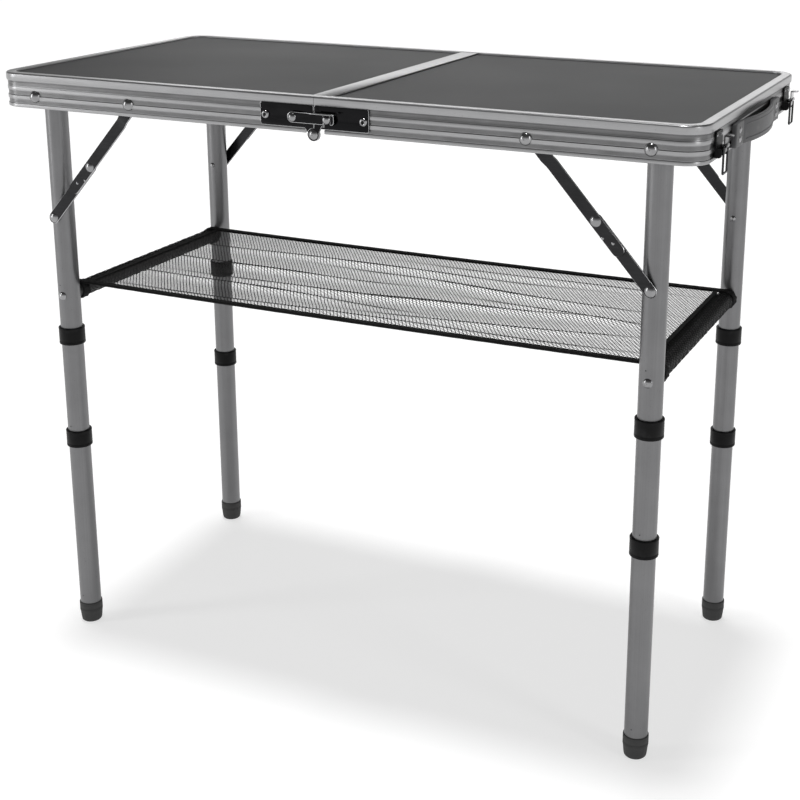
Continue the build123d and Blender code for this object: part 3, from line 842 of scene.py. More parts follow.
def eyelet(radius: float, height: float, shank: float) -> Object:
    """Rolled ring of a blind rivet, to be repeated on points.

    Args:
        radius: Its radius.
        height: How far it rises.
        shank: How far its shank goes down.

    Returns:
        The ring.
    """
    inner = 0.34
    shape = ((inner, 0.35), (0.4, 0.86), (0.55, 1.0), (0.72, 0.92), (0.9, 0.6), (1.0, 0.15))
    ring = [(radius * wide, height * rise) for wide, rise in shape]
    ring += [(radius, -0.0002), (radius * 0.5, -shank), (radius * inner, -shank)]
    return pattern_piece("eyelet", lathe(ring, (0.0, 0.0), 28))


def core(radius: float, height: float, shank: float) -> Object:
    """Core in the ring of a blind rivet, to be repeated on points; its callers give it painted shade.

    Args:
        radius: Its radius.
        height: How far it rises.
        shank: How far it goes down.

    Returns:
        The core.
    """
    outline = [(0.0, height), (radius * 0.6, height * 0.92), (radius, height * 0.4)]
    outline += [(radius, -shank), (0.0, -shank)]
    return pattern_piece("core", lathe(outline, (0.0, 0.0), 20))


def pattern_piece(name: str, mesh: Mesh) -> Object:
    """An object that is only repeated by a recipe, kept out of the scene."""
    return bpy.data.objects.new("pattern_" + name, mesh)


# --- Geometry Nodes recipes -------------------------------------------------


class Recipe:
    """A Geometry Nodes tree with named sizes."""

    def __init__(self, name: str, sizes: dict[str, str]) -> None:
        """Start a tree.

        Args:
            name: The tree's name.
            sizes: Socket type of each named input; a finish is added to them.
        """
        self.group = bpy.data.node_groups.new(name, "GeometryNodeTree")
        face = self.group.interface
        face.new_socket("Geometry", in_out="INPUT", socket_type="NodeSocketGeometry")
        face.new_socket("Geometry", in_out="OUTPUT", socket_type="NodeSocketGeometry")
        self.keys = {
            size: face.new_socket(size, in_out="INPUT", socket_type="NodeSocket" + kind).identifier
            for size, kind in {**sizes, "Finish": "Material"}.items()
        }
        self.given = self.group.nodes.new("NodeGroupInput")

    def node(
        self, kind: str, sockets: dict[Any, Any] | None = None, output: Any = 0, **settings: Any
    ) -> Socket:
        """Make one node and give the wanted output."""
        return add_node(self.group, kind, settings, sockets or {}).outputs[output]

    def math(self, operation: str, first: Any, second: Any) -> Socket:
        """One Math node's result."""
        return self.node("ShaderNodeMath", {0: first, 1: second}, operation=operation)

    def end(self, geometry: Socket) -> "Recipe":
        """Close the tree with Realize Instances and Set Material.

        Args:
            geometry: What the recipe has made.

        Returns:
            The recipe.
        """
        real = self.node("GeometryNodeRealizeInstances", {"Geometry": geometry})
        sockets = {"Geometry": real, "Material": self.given.outputs["Finish"]}
        painted = self.node("GeometryNodeSetMaterial", sockets)
        add_node(self.group, "NodeGroupOutput", {}, {0: painted})
        return self

    def make(self, source: Mesh, **sizes: Any) -> Mesh:
        """Run the recipe on a mesh.

        Args:
            source: The mesh that the recipe starts from.
            sizes: Values of the named inputs, underscores for spaces.

        Returns:
            The plain mesh that it makes.
        """
        work = bpy.data.objects.new("work", source)
        bpy.context.scene.collection.objects.link(work)
        modifier = work.modifiers.new("recipe", "NODES")
        modifier.node_group = self.group
        for size, given in sizes.items():
            modifier[self.keys[size.replace("_", " ")]] = given
        return solid_mesh(work)


def section_sweep() -> Recipe:
    """Recipe that draws a section along a path with rounded corners.

    Returns:
        The recipe.
    """
    sizes = {"Section": "Object", "Corner Radius": "Float", "Corner Steps": "Int"}
    recipe = Recipe("section_sweep", sizes)
    given = recipe.given.outputs
    path = recipe.node("GeometryNodeMeshToCurve", {"Mesh": given["Geometry"]})
    sockets = {"Curve": path, "Radius": given["Corner Radius"], "Count": given["Corner Steps"]}
    bent = recipe.node("GeometryNodeFilletCurve", sockets, mode="POLY")
    level = recipe.node("GeometryNodeSetCurveNormal", {0: bent}, mode="Z_UP")
    shape = recipe.node("GeometryNodeObjectInfo", {"Object": given["Section"]}, "Geometry")
    section = recipe.node("GeometryNodeMeshToCurve", {"Mesh": shape})
    sockets = {"Curve": level, "Profile Curve": section, "Fill Caps": True}
    return recipe.end(recipe.node("GeometryNodeCurveToMesh", sockets))


def heads_on_points() -> Recipe:
    """Recipe that puts a head on each point, turned to the point's facing.

    Returns:
        The recipe.
    """
    recipe = Recipe("heads_on_points", {"Head": "Object", "Size": "Float"})
    given = recipe.given.outputs
    name = {"Name": "facing"}
    facing = recipe.node("GeometryNodeInputNamedAttribute", name, data_type="FLOAT_VECTOR")
    turned = recipe.node("FunctionNodeAlignRotationToVector", {"Vector": facing}, axis="Z")
    head = recipe.node("GeometryNodeObjectInfo", {"Object": given["Head"]}, "Geometry")
    sockets = {"Points": given["Geometry"], "Instance": head, "Rotation": turned}
    sockets["Scale"] = given["Size"]
    return recipe.end(recipe.node("GeometryNodeInstanceOnPoints", sockets))


def zigzag_net() -> Recipe:
    """Recipe that lays zigzag strands side by side, so that they form an open net.

    Returns:
        The recipe.
    """
    sizes = {"Strands": "Int", "Pitch": "Float", "Knots": "Int", "Row": "Float"}
    recipe = Recipe("zigzag_net", {**sizes, "Yarn Radius": "Float", "Seed": "Int"})
    given = recipe.given.outputs
    odd = recipe.math("MODULO", recipe.node("GeometryNodeInputIndex"), 2.0)
    step = recipe.node("ShaderNodeCombineXYZ", {"Y": given["Row"]})
    strand = recipe.node("GeometryNodeMeshLine", {"Count": given["Knots"], "Offset": step})
    curve = recipe.node("GeometryNodeMeshToCurve", {"Mesh": strand})
    swing = recipe.math("MULTIPLY", recipe.math("SUBTRACT", odd, 0.5), given["Pitch"])
    aside = recipe.node("ShaderNodeCombineXYZ", {"X": swing})
    zigzag = recipe.node("GeometryNodeSetPosition", {"Geometry": curve, "Offset": aside})
    sockets = {"Resolution": 4, "Radius": given["Yarn Radius"]}
    ring = recipe.node("GeometryNodeCurvePrimitiveCircle", sockets)
    sockets = {"Curve": zigzag, "Profile Curve": ring, "Fill Caps": True}
    yarn = recipe.node("GeometryNodeCurveToMesh", sockets)
    across = recipe.node("ShaderNodeCombineXYZ", {"X": given["Pitch"]})
    row = recipe.node("GeometryNodeMeshLine", {"Count": given["Strands"], "Offset": across})
    lift = recipe.node("ShaderNodeCombineXYZ", {"Y": recipe.math("MULTIPLY", odd, given["Row"])})
    starts = recipe.node("GeometryNodeSetPosition", {"Geometry": row, "Offset": lift})
    laid = recipe.node("GeometryNodeInstanceOnPoints", {"Points": starts, "Instance": yarn})
    real = recipe.node("GeometryNodeRealizeInstances", {"Geometry": laid})
    reach = (0.00004, 0.00004, 0.00002)
    sockets = {0: tuple(-r for r in reach), 1: reach, "Seed": given["Seed"]}
    wander = recipe.node("FunctionNodeRandomValue", sockets, data_type="FLOAT_VECTOR")
    return recipe.end(recipe.node("GeometryNodeSetPosition", {"Geometry": real, "Offset": wander}))


def points_mesh(places: Sequence[tuple[Point, Point]]) -> Mesh:
    """Points with the direction that each faces.

    Args:
        places: (position, facing) of each point, in metres.

    Returns:
        A mesh of loose points with a facing attribute.
    """
    mesh = bpy.data.meshes.new("points")
    mesh.from_pydata([place for place, _ in places], [], [])
    layer = mesh.attributes.new("facing", "FLOAT_VECTOR", "POINT")
    layer.data.foreach_set("vector", np.array([way for _, way in places], np.float32).ravel())
    return mesh


def wire_mesh(corners: Sequence[Point], closed: bool = False) -> Mesh:
    """Chain points with edges.

    Args:
        corners: The points.
        closed: Whether the last is joined to the first.

    Returns:
        The chain.
    """
    mesh = bpy.data.meshes.new("wire")
    edges = [(i, i + 1) for i in range(len(corners) - 1)]
    if closed:
        edges.append((len(corners) - 1, 0))
    mesh.from_pydata([tuple(map(float, c)) for c in corners], edges, [])
    return mesh


@dataclass
class Bench:
    """The recipes that the sub-assemblies share."""

    sweep: Recipe = field(default_factory=section_sweep)
    heads: Recipe = field(default_factory=heads_on_points)
    net: Recipe = field(default_factory=zigzag_net)

    def repeat(
        self,
        head: Object,
        places: Sequence[tuple[Point, Point]],
        finish: Finish | None = None,
    ) -> Mesh:
        """Repeat a head.

        Args:
            head: The head, facing along Z.
            places: (position, facing) of each copy.
            finish: The finish; bright rivet steel where none is given.

        Returns:
            The copies as one mesh.
        """
        material = (finish or CHROME).material()
        return self.heads.make(points_mesh(places), Head=head, Size=1.0, Finish=material)

    def drawn(
        self,
        section: Sequence[tuple[float, float]],
        path: Sequence[Point],
        finish: Finish,
        radius: float = 0.0,
        steps: int = 18,
    ) -> Mesh:
        """A section drawn along a path.

        Args:
            section: (outward, downward) corners of the closed section, in metres.
            path: Corners of the path.
            finish: The finish.
            radius: Corner radius of the path.
            steps: Points on each corner.

        Returns:
            The closed mesh.
        """
        outline = wire_mesh([(out, down, 0.0) for out, down in section], closed=True)
        shape = pattern_piece("section", outline)
        mesh = self.sweep.make(
            wire_mesh(path),
            Section=shape,
            Corner_Radius=radius,
            Corner_Steps=steps,
            Finish=finish.material(),
        )
        tidy(mesh)
        return mesh


# --- Sub-assemblies ---------------------------------------------------------


SIDES = {"left": -1.0, "right": 1.0}
ENDS = {"front": -1.0, "rear": 1.0}


def put(
    name: str,
    mesh: Mesh,
    body: str,
    nodes: Sequence[str] = (),
    finish: Finish | None = None,
    angle: float = 32.0,
) -> Object:
    """Finish a rigid piece and let it ride.

    Args:
        name: The piece's name.
        mesh: Its mesh, in place.
        body: The body that it rides on.
        nodes: The CAD nodes that it stands for.
        finish: Its finish, or None where the mesh has its materials.
        angle: Edges turned by more than this many degrees stay sharp.

    Returns:
        The piece.
    """
    piece = keep(name, mesh, finish, angle)
    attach(piece, body)
    if nodes:
        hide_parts(*nodes)
    return piece


def dress(node: str, finish: Finish) -> None:
    """Give a CAD node that stays its finish.

    Args:
        node: The node.
        finish: The finish.
    """
    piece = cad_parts[node]
    if not piece.material_slots:
        piece.data.materials.append(finish.material())
    for slot in piece.material_slots:
        slot.material = finish.material()
    LOG.info("node %s keeps its shape, finish %s", node, finish.name)


@dataclass
class Top:
    """The two halves of the top: rims, panels and the strip over the seam."""

    bench: Bench
    length: float = 800 * MM
    width: float = 390 * MM
    height: float = 678 * MM
    rim_height: float = 37.5 * MM
    corner: float = 26 * MM
    seam: float = 0.15 * MM
    notch_width: float = 11 * MM
    notch_height: float = 6 * MM
    lip: float = 1.0 * MM

    def section(self) -> list[tuple[float, float]]:
        """Rim section with its small roundings.

        Returns:
            (outward, downward) corners of the closed section, in metres.
        """
        lip, low, nose, quarter = self.lip / MM, self.rim_height / MM, 2.0, math.pi / 2
        pts = [
            (lip - nose * (1 - math.sin(t)), nose * (1 - math.cos(t)))
            for t in np.linspace(0, quarter, 7)
        ]
        pts += [(lip, 7.9), (lip - 0.25, 8.5), (lip - 0.7, 8.8), (-0.8, 8.9), (-0.8, 9.8), (-0.5, 9.9)]
        shade = -0.5
        for top in (14.27, 23.73):
            pts += [(shade, top)]
            pts += [(shade * (1 - rise), top + 0.9 * rise) for rise in (0.25, 0.6, 0.9, 1.0)]
            shade = -0.8
            pts += [(0.0, top + 4.2), (-0.08, top + 4.6), (-0.4, top + 4.9), (shade, top + 5.0)]
        bead = low - 4.3
        pts += [(shade, bead), (-0.3, bead + 0.3), (-0.05, bead + 0.7)]
        pts += [(math.cos(t) - 1, low - 1 + math.sin(t)) for t in np.linspace(0, quarter, 6)]
        pts += [(-8.8, low), (-9, low - 0.2), (-9, low - 1.2), (-8.8, low - 1.4), (-2.6, low - 1.4)]
        pts += [(-2.4, low - 1.6), (-2.4, 7.8), (-12, 7.8), (-12, 6.6), (-2.4, 6.6), (-2.4, 1.6)]
        pts += [(-10, 1.6), (-10, 0.4), (-9.88, 0.12), (-9.6, 0.0)]
        return mm(pts)

    def rim(self, side: str) -> None:
        """One half's rim, drawn round its three sides and notched beside the hinges.

        Args:
            side: The half, left or right.
        """
        sign = SIDES[side]
        half_x, half_y = self.length / 2, self.width / 2
        turns = ((self.seam, -half_y), (half_x, -half_y), (half_x, half_y), (self.seam, half_y))
        path = [(sign * x, sign * y, self.height) for x, y in turns]
        mesh = self.bench.drawn(self.section(), path, RIM, self.corner, 20)
        low = self.height - self.rim_height
        for end in (-1, 1):
            x = (-0.002 * sign, sign * self.notch_width)
            mesh = cut_block(
                mesh,
                (min(x), end * half_y - 0.014, low - 0.004),
                (max(x), end * half_y + 0.014, low + self.notch_height),
            )
        put(f"{side}_rim_extrusion", mesh, f"{side}_half", [f"{side}_rim"], RIM)

    def build(self) -> None:
        """Rims, seam strips and the finish of the panels."""
        for side in SIDES:
            self.rim(side)
            dress(f"{side}_panel", LAMINATE)
        strip = refined("right_seam_profile", 0.45 * MM, 3)
        put("seam_strip", strip, "right_half", ["right_seam_profile"], RIM)
        dress("left_seam_profile", RIM)
        for side in SIDES:
            dress(f"{side}_pivot_rivets", CHROME)


def cut_block(mesh: Mesh, low: Point, high: Point) -> Mesh:
    """Cut a block out of a mesh.

    Args:
        mesh: The mesh.
        low: The block's lowest corner.
        high: The block's highest corner.

    Returns:
        What is left of the mesh.
    """
    faces = [(0, 1, 3, 2), (4, 6, 7, 5), (0, 4, 5, 1), (2, 3, 7, 6), (0, 2, 6, 4), (1, 5, 7, 3)]
    tool = bpy.data.objects.new("tool", mesh_of(product(*zip(low, high)), faces))
    work = bpy.data.objects.new("work", mesh)
    for item in (tool, work):
        bpy.context.scene.collection.objects.link(item)
    cut = work.modifiers.new("cut", "BOOLEAN")
    cut.operation = "DIFFERENCE"
    cut.solver = "EXACT"
    cut.object = tool
    result = solid_mesh(work)
    bpy.data.objects.remove(tool)
    return result


@dataclass
class Hinges:
    """Centre hinge plates, their rivets and the lock bars."""

    bench: Bench
    face: float = 196.5 * MM
    lock_face: float = 200.7 * MM
    height: float = 656.5 * MM

    def build(self) -> None:
        """Plates and bars with painted highlights on their rounded edges, ringed and domed rivets."""
        for side, sign in SIDES.items():
            body = f"{side}_half"
            node = f"{side}_hinge_plates"
            # Painted highlight on the roundings of the plates.
            leaves = refined(node, 0.35 * MM, 2, (PLATE, GLINT))
            put(f"{side}_hinge_leaves", leaves, body, [node])
            lock_x = -23 * MM if side == "left" else 16 * MM
            rings = [
                ((sign * 56 * MM, end * self.face, self.height), (0.0, end, 0.0)) for end in ENDS.values()
            ]
            domes = [
                ((lock_x, end * self.lock_face, self.height), (0.0, end, 0.0)) for end in ENDS.values()
            ]
            parts = [
                self.bench.repeat(eyelet(4.4 * MM, 2.2 * MM, 1.4 * MM), rings),
                # Cores with painted shade fill the holes of the rings.
                self.bench.repeat(core(1.5 * MM, 1.1 * MM, 1.3 * MM), rings, EYE),
                self.bench.repeat(dome(4.4 * MM, 2.4 * MM, 4.2 * MM), domes),
            ]
            put(
                f"{side}_plate_heads", joined(parts), body, [f"{side}_plate_rivets"]
            )
        dress("hinge_pins", CHROME)
        for end in ENDS:
            node = f"{end}_lock_bar"
            # Painted highlight on the roundings of the lock bar.
            hook = refined(node, 0.55 * MM, 2, (PLATE, GLINT))
            put(f"{end}_lock_hook", hook, node, [node])


@dataclass
class Handle:
    """Moulded strap handle with its pads."""

    bench: Bench
    face: float = 400 * MM
    length: float = 190 * MM
    pad_length: float = 30 * MM
    pad: float = 5 * MM
    strap: float = 4 * MM
    bow: float = 9.5 * MM
    height: float = 24 * MM
    middle: float = 653 * MM
    soft: float = 1.1 * MM

    def span(self, y: float) -> tuple[float, float]:
        """Where the strap's two faces are.

        Args:
            y: Distance from the strap's middle.

        Returns:
            Its inner and its outer face.
        """
        reach = self.length / 2 - self.pad_length + MM
        if abs(y) > reach:
            return self.face, self.face + self.pad
        sag = self.bow - (self.pad - self.strap)
        ball = (reach**2 + sag**2) / (2 * sag)
        out = self.face + self.pad + math.sqrt(ball**2 - y**2) - (ball - sag)
        return out - self.strap, out

    def ring(self, y: float) -> list[Point]:
        """Rounded section of the strap, thinner towards its ends.

        Args:
            y: Distance from the strap's middle.

        Returns:
            The section's corners.
        """
        inner, outer = self.span(y)
        edge = min(1.0, max(0.0, (self.length / 2 - abs(y)) / (2.5 * MM)))
        tall = self.height / 2 - 1.8 * MM * (1 - math.sqrt(max(0.0, 1 - (1 - edge) ** 2)))
        out = outer - 0.9 * MM * (1 - edge) ** 2
        soft = self.soft
        ring = []
        for turn, (sx, sz) in enumerate(((1, 1), (-1, 1), (-1, -1), (1, -1))):
            x = (out if sx > 0 else inner) - sx * soft
            z = self.middle + sz * (tall - soft)
            for k in range(5):
                t = math.radians(90 * turn + 22.5 * k)
                ring.append((x + soft * math.cos(t), y, z + soft * math.sin(t)))
        return ring

    def rib(self, level: float) -> Mesh:
        """Raised rib along the strap that fades out at its ends.

        Args:
            level: Its height above the strap's middle.

        Returns:
            The rib.
        """
        rows = []
        for y in mm(range(-60, 61, 5)):
            out = self.span(y)[1]
            rise = 0.55 * MM * max(0.05, min(1.0, (62 * MM - abs(y)) / (6 * MM)))
            root, flank = -0.3 * MM, rise * 0.7
            shape = ((root, -1.0), (flank, -0.6), (rise, 0.0), (flank, 0.6), (root, 1.0))
            rows.append([(out + x, y, self.middle + level + z * MM) for x, z in shape])
        return loft(rows)

    def build(self) -> None:
        """Strap with rounded edges and two raised ribs along it."""
        half = self.length / MM / 2
        places = [-half, 0.4 - half, 1.2 - half, 3 - half, -80, -72, -67, -66, -65.9, -62]
        places += range(-56, 1, 7)
        rings = [self.ring(y) for y in mm(places + [-y for y in reversed(places[:-1])])]
        parts = [softened(loft(rings), 0.3 * MM, 2, 50), self.rib(-7.5 * MM), self.rib(7.5 * MM)]
        mesh = joined([tinted(part, STRAP) for part in parts])
        put("handle_grip", mesh, "right_half", ["handle_strap"])
        dress("handle_rivets", CHROME)


@dataclass
class Latches:
    """Toggle latches on the right end and their keepers on the left end."""

    bench: Bench
    y: float = 147 * MM

    def build(self) -> None:
        """Refined levers, wires and keepers, with their small rivets."""
        dress("latch_bases", CUP)
        for end in ENDS:
            lever, bail = f"{end}_latch_lever", f"{end}_latch_bail"
            # Painted light: the rear lever is a lit copy and the front one a shaded copy of the same part.
            tones = (TIP, TIP) if end == "rear" else (LEVER, WIRE)
            arm = refined(lever, 0.25 * MM, 2, tones)
            put(f"{end}_lever", arm, lever, [lever])
            dress(bail, WIRE)
        keeper = "latch_keepers"
        # Painted highlight on the roundings of the keepers.
        hooks = refined(keeper, 0.25 * MM, 2, (PLATE, GLINT))
        put("keeper_hooks", hooks, "left_half", [keeper])
        head = dome(1.9 * MM, 0.9 * MM, 1.2 * MM, 18)
        spots = [
            ((-401.4 * MM, end * self.y + dy, 660.5 * MM), (-1.0, 0.0, 0.0))
            for end in ENDS.values()
            for dy in (-6.5 * MM, 6.5 * MM)
        ]
        put("keeper_rivets", self.bench.repeat(head, spots), "left_half")
        spots = [
            ((401.4 * MM, end * self.y + dy, 664.0 * MM), (1.0, 0.0, 0.0))
            for end in ENDS.values()
            for dy in (-8.0 * MM, 8.0 * MM)
        ]
        put("latch_rivets", self.bench.repeat(head, spots), "right_half")


@dataclass
class Legs:
    """Leg tubes, collars, feet, cross tubes and their rivets."""

    bench: Bench
    radius: float = 12.5 * MM
    wall: float = 1.2 * MM
    cup: float = 15.05 * MM
    x: float = 350 * MM
    y: float = 160 * MM
    punch_edge: tuple[tuple[float, float], ...] = (
        (0.6, -0.4), (0.6, 0.02), (1.1, 0.12), (1.4, 0.06), (1.4, -0.4),
    )

    def tube(self, low: float, high: float, centre: tuple[float, float]) -> Mesh:
        """A drawn tube with rounded ends.

        Args:
            low: Height of its lower end.
            high: Height of its upper end.
            centre: Where its axis stands.

        Returns:
            The tube.
        """
        out, bore, soft = self.radius, self.radius - self.wall, 0.3 * MM
        rows = [low + soft, *np.linspace(low + 8 * MM, high - 8 * MM, 6), high - soft]
        profile = [(bore + soft, low), (out - soft, low)] + [(out, z) for z in rows]
        profile += [(out - soft, high), (bore + soft, high), (bore, high - soft), (bore, low + soft)]
        return tinted(lathe(profile, centre, 72), TUBE)

    def collar(self, node: str, centre: tuple[float, float]) -> Mesh:
        """Cup collar with a rolled lip, a shallow belt and a hollow spigot inside.

        Args:
            node: The CAD node of the collar, which gives its heights.
            centre: Where its axis stands.

        Returns:
            The collar.
        """
        low, top = (corner.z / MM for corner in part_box(node))
        cup, tube, spigot = self.cup / MM, self.radius / MM, (self.radius - self.wall) / MM - 0.3
        lip, seat, inner = low + 20, low + 8, spigot - 2.5
        outline = [
            (inner, seat - 2), (tube, seat - 2), (tube, low), (tube + 0.3, low), (cup - 0.9, low),
            (cup - 0.25, low + 0.3), (cup - 0.05, low + 0.9), (cup - 0.15, low + 3.2),
            (cup - 0.35, low + 3.5), (cup - 0.35, low + 4.1), (cup - 0.15, low + 4.4),
            (cup - 0.2, lip - 3), (cup, lip - 1.6), (cup, lip - 0.7), (cup - 0.4, lip - 0.1),
            (cup - 1, lip), (tube + 0.5, lip), (tube + 0.3, lip - 0.4), (tube + 0.3, seat),
            (spigot, seat), (spigot, top - 1.5), (spigot - 1, top), (inner, top),
        ]
        return lathe(mm(outline), centre, 72)

    def foot(self, centre: tuple[float, float]) -> Mesh:
        """Rubber foot with a lobed toe and two grip rings.

        Args:
            centre: Where its axis stands.

        Returns:
            The foot.
        """
        wide, low, high = 13.6, 1.0 * MM, 13.0 * MM

        def lobes(turn: float, height: float) -> float:
            """Upright flutes round the taper that fade out above and below.

            Args:
                turn: Angle round the foot.
                height: Height above the floor.

            Returns:
                What is added to the radius.
            """
            inside = low < height < high
            share = math.sin(math.pi * (height - low) / (high - low)) if inside else 0.0
            return -0.35 * MM * share * (0.5 - 0.5 * math.cos(12 * turn))

        profile = [
            (0.0, 0.0), (6.5, 0.0), (7.2, 0.5), (8.2, 0.5), (8.8, 0.0), (9.6, 0.0), (10.8, 0.5),
            (11.7, 1.4), (12.2, 3), (12.5, 5), (12.75, 7), (12.95, 9), (13.1, 11), (13.35, 13.4),
            (wide, 14.4), (wide, 17), (13.25, 17.5), (13.25, 18.3), (wide, 18.8), (wide, 24.4),
            (13.45, 25.4), (13.1, 25.9), (12.7, 26), (12.51, 25.8), (12.51, 9), (0.0, 9),
        ]
        return lathe(mm(profile), centre, 72, lobes)

    def punched(self, marks: Sequence[tuple[Point, Point]]) -> list[Mesh]:
        """Punch marks, each a raised edge round a pit with painted shade.

        Args:
            marks: (position, facing) of each mark.

        Returns:
            The edges and the pits.
        """
        edge = pattern_piece("punch_edge", lathe(mm(self.punch_edge), (0.0, 0.0), 18))
        # The pit is a nearly flat disc with painted shade for the punched hollow.
        pit = core(0.75 * MM, 0.06 * MM, 0.4 * MM)
        return [self.bench.repeat(edge, marks, TUBE), self.bench.repeat(pit, marks, EYE)]

    def sections(self, corner: str, centre: tuple[float, float], sy: float) -> None:
        """Middle and lower section of one leg, their cups and the foot.

        Args:
            corner: The leg, such as front_left.
            centre: Where its axis stands.
            sy: Which way its marks face along Y.
        """
        for level, rise in (("middle", 18 * MM), ("lower", 27 * MM)):
            body, node = f"{corner}_{level}_leg", f"{corner}_{level}_tube"
            low, high = (spot.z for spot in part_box(node))
            spot = (centre[0] - 1.5 * MM, centre[1] + sy * 12.42 * MM, low + rise)
            mesh = joined([self.tube(low, high, centre), *self.punched([(spot, (-0.12, sy, 0.0))])])
            put(f"{corner}_{level}_section", mesh, body, [node])
            node = f"{corner}_{level}_collar"
            mesh = self.collar(node, centre)
            put(f"{corner}_{level}_cup", mesh, body, [node], CUP, 40)
        mesh, body, node = self.foot(centre), f"{corner}_lower_leg", f"{corner}_foot"
        put(f"{corner}_rubber", mesh, body, [node], RUBBER, 45)

    def build(self) -> None:
        """Every tube, collar and foot, with punch marks and rivet buttons."""
        for side, sx in SIDES.items():
            node, x = f"{side}_leg_tubes", sx * self.x
            low, high = (spot.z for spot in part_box(node))
            parts = [self.tube(low, high, (x, sy * self.y)) for sy in ENDS.values()]
            marks = [
                ((x - 2.4 * MM, sy * (self.y + 12.26 * MM), 432 * MM), (-0.19, sy, 0.0))
                for sy in ENDS.values()
            ]
            mesh = joined([*parts, *self.punched(marks)])
            put(f"{side}_upper_legs", mesh, f"{side}_leg_frame", [node])
            dress(f"{side}_cross_tube", CROSS)
            dress(f"{side}_leg_rivets", CHROME)
            for end, sy in ENDS.items():
                self.sections(f"{end}_{side}", (x, sy * self.y), sy)


@dataclass
class Braces:
    """Two-link folding braces with their rivets and dimples."""

    bench: Bench
    rim: tuple[float, float] = (227 * MM, 653.5 * MM)
    ankle: tuple[float, float] = (350 * MM, 513.5 * MM)
    upper_length: float = 101.68 * MM
    tail: float = 35 * MM
    width: float = 13 * MM
    thick: float = 2 * MM
    chamfer: float = 0.45 * MM
    raised: float = 182.85 * MM
    flat: float = 179.85 * MM
    behind: float = 177.5 * MM
    slant: tuple[float, float] = (0.35, 0.88)

    def outside(self, s: float) -> float:
        """Where the upper link's outer face is.

        Args:
            s: Distance along the brace.

        Returns:
            The face's distance from the middle plane.
        """
        share = min(1.0, max(0.0, (s - 25.5 * MM) / (7 * MM)))
        share = share * share * (3 - 2 * share)
        return self.raised + (self.flat - self.raised) * share

    def strip(
        self, start: float, end: float, outer: Callable[[float], float], along: Callable[..., Point]
    ) -> Mesh:
        """A flat strip with round ends and painted highlights on its chamfered edges.

        Args:
            start: Where its first rivet is along the brace.
            end: Where its last rivet is.
            outer: Where its outer face is at a distance along the brace.
            along: Place of a point at a distance along and across the brace.

        Returns:
            The strip.
        """
        half = self.width / 2
        turns = [math.sin(t) for t in np.linspace(0, math.pi / 2, 9)]
        rows = [start - half * math.cos(math.asin(t)) for t in turns]
        middle = np.linspace(start, end, 34)[1:-1]
        rows = [*rows, *middle, *[end + (start - r) for r in reversed(rows)]]
        rings = []
        for s in rows:
            over = max(0.0, start - s, s - end)
            wide = max(math.sqrt(max(0.0, half**2 - over**2)), 0.9 * MM)
            cut = self.chamfer if over < half * 0.98 else 0.1 * MM
            top, low = outer(s), outer(s) - self.thick
            corners = [(cut - wide, top), (wide - cut, top), (wide, top - cut), (wide, low + cut)]
            corners += [(wide - cut, low), (cut - wide, low), (-wide, low + cut), (-wide, top - cut)]
            rings.append([along(s, w, out) for w, out in corners])
        mesh = loft(rings)
        # Painted highlight: the chamfer faces, picked by their slant, get the bright edge finish.
        for tone in (BRACE, GLINT):
            mesh.materials.append(tone.material())
        for face in mesh.polygons:
            face.material_index = int(self.slant[0] < abs(face.normal.y) < self.slant[1])
        return mesh

    def links(self, corner: str, sx: float, sy: float) -> None:
        """Both links of one brace, in front of each other, with their rivets.

        Args:
            corner: The leg, such as front_left.
            sx: The table's side along X.
            sy: The table's side along Y.
        """
        rise, reach = self.rim[1] - self.ankle[1], self.ankle[0] - self.rim[0]
        whole, knee = math.hypot(rise, reach), self.upper_length
        ux, uz = reach / whole, -rise / whole

        def along(s: float, w: float, out: float) -> Point:
            """Place of a point at a distance along and across the brace."""
            x = self.rim[0] + ux * s - uz * w
            return (sx * x, sy * out, self.rim[1] + uz * s + ux * w)

        upper = self.strip(0.0, knee + self.tail, self.outside, along)
        lower = self.strip(knee, whole, lambda s: self.behind, along)
        way = (0.0, sy, 0.0)
        big = dome(5.6 * MM, 2.3 * MM, 4.0 * MM)
        small = dome(1.5 * MM, 0.5 * MM, 0.4 * MM, 16)
        dimples = [
            (along(knee + 17 * MM, -4.9 * MM, self.flat), way),
            (along(knee + 27 * MM, 0.5 * MM, self.flat), way),
        ]
        heads = self.bench.repeat(big, [(along(knee, 0.0, self.flat), way)])
        mesh, node = joined([upper, heads, self.bench.repeat(small, dimples)]), f"{corner}_upper_link"
        put(f"{corner}_upper_stay", mesh, node, [node])
        heads = self.bench.repeat(big, [(along(whole, 0.0, self.behind), way)])
        mesh, node = joined([lower, heads]), f"{corner}_lower_link"
        put(f"{corner}_lower_stay", mesh, node, [node])

    def build(self) -> None:
        """All four braces."""
        for side, sx in SIDES.items():
            for end, sy in ENDS.items():
                self.links(f"{end}_{side}", sx, sy)


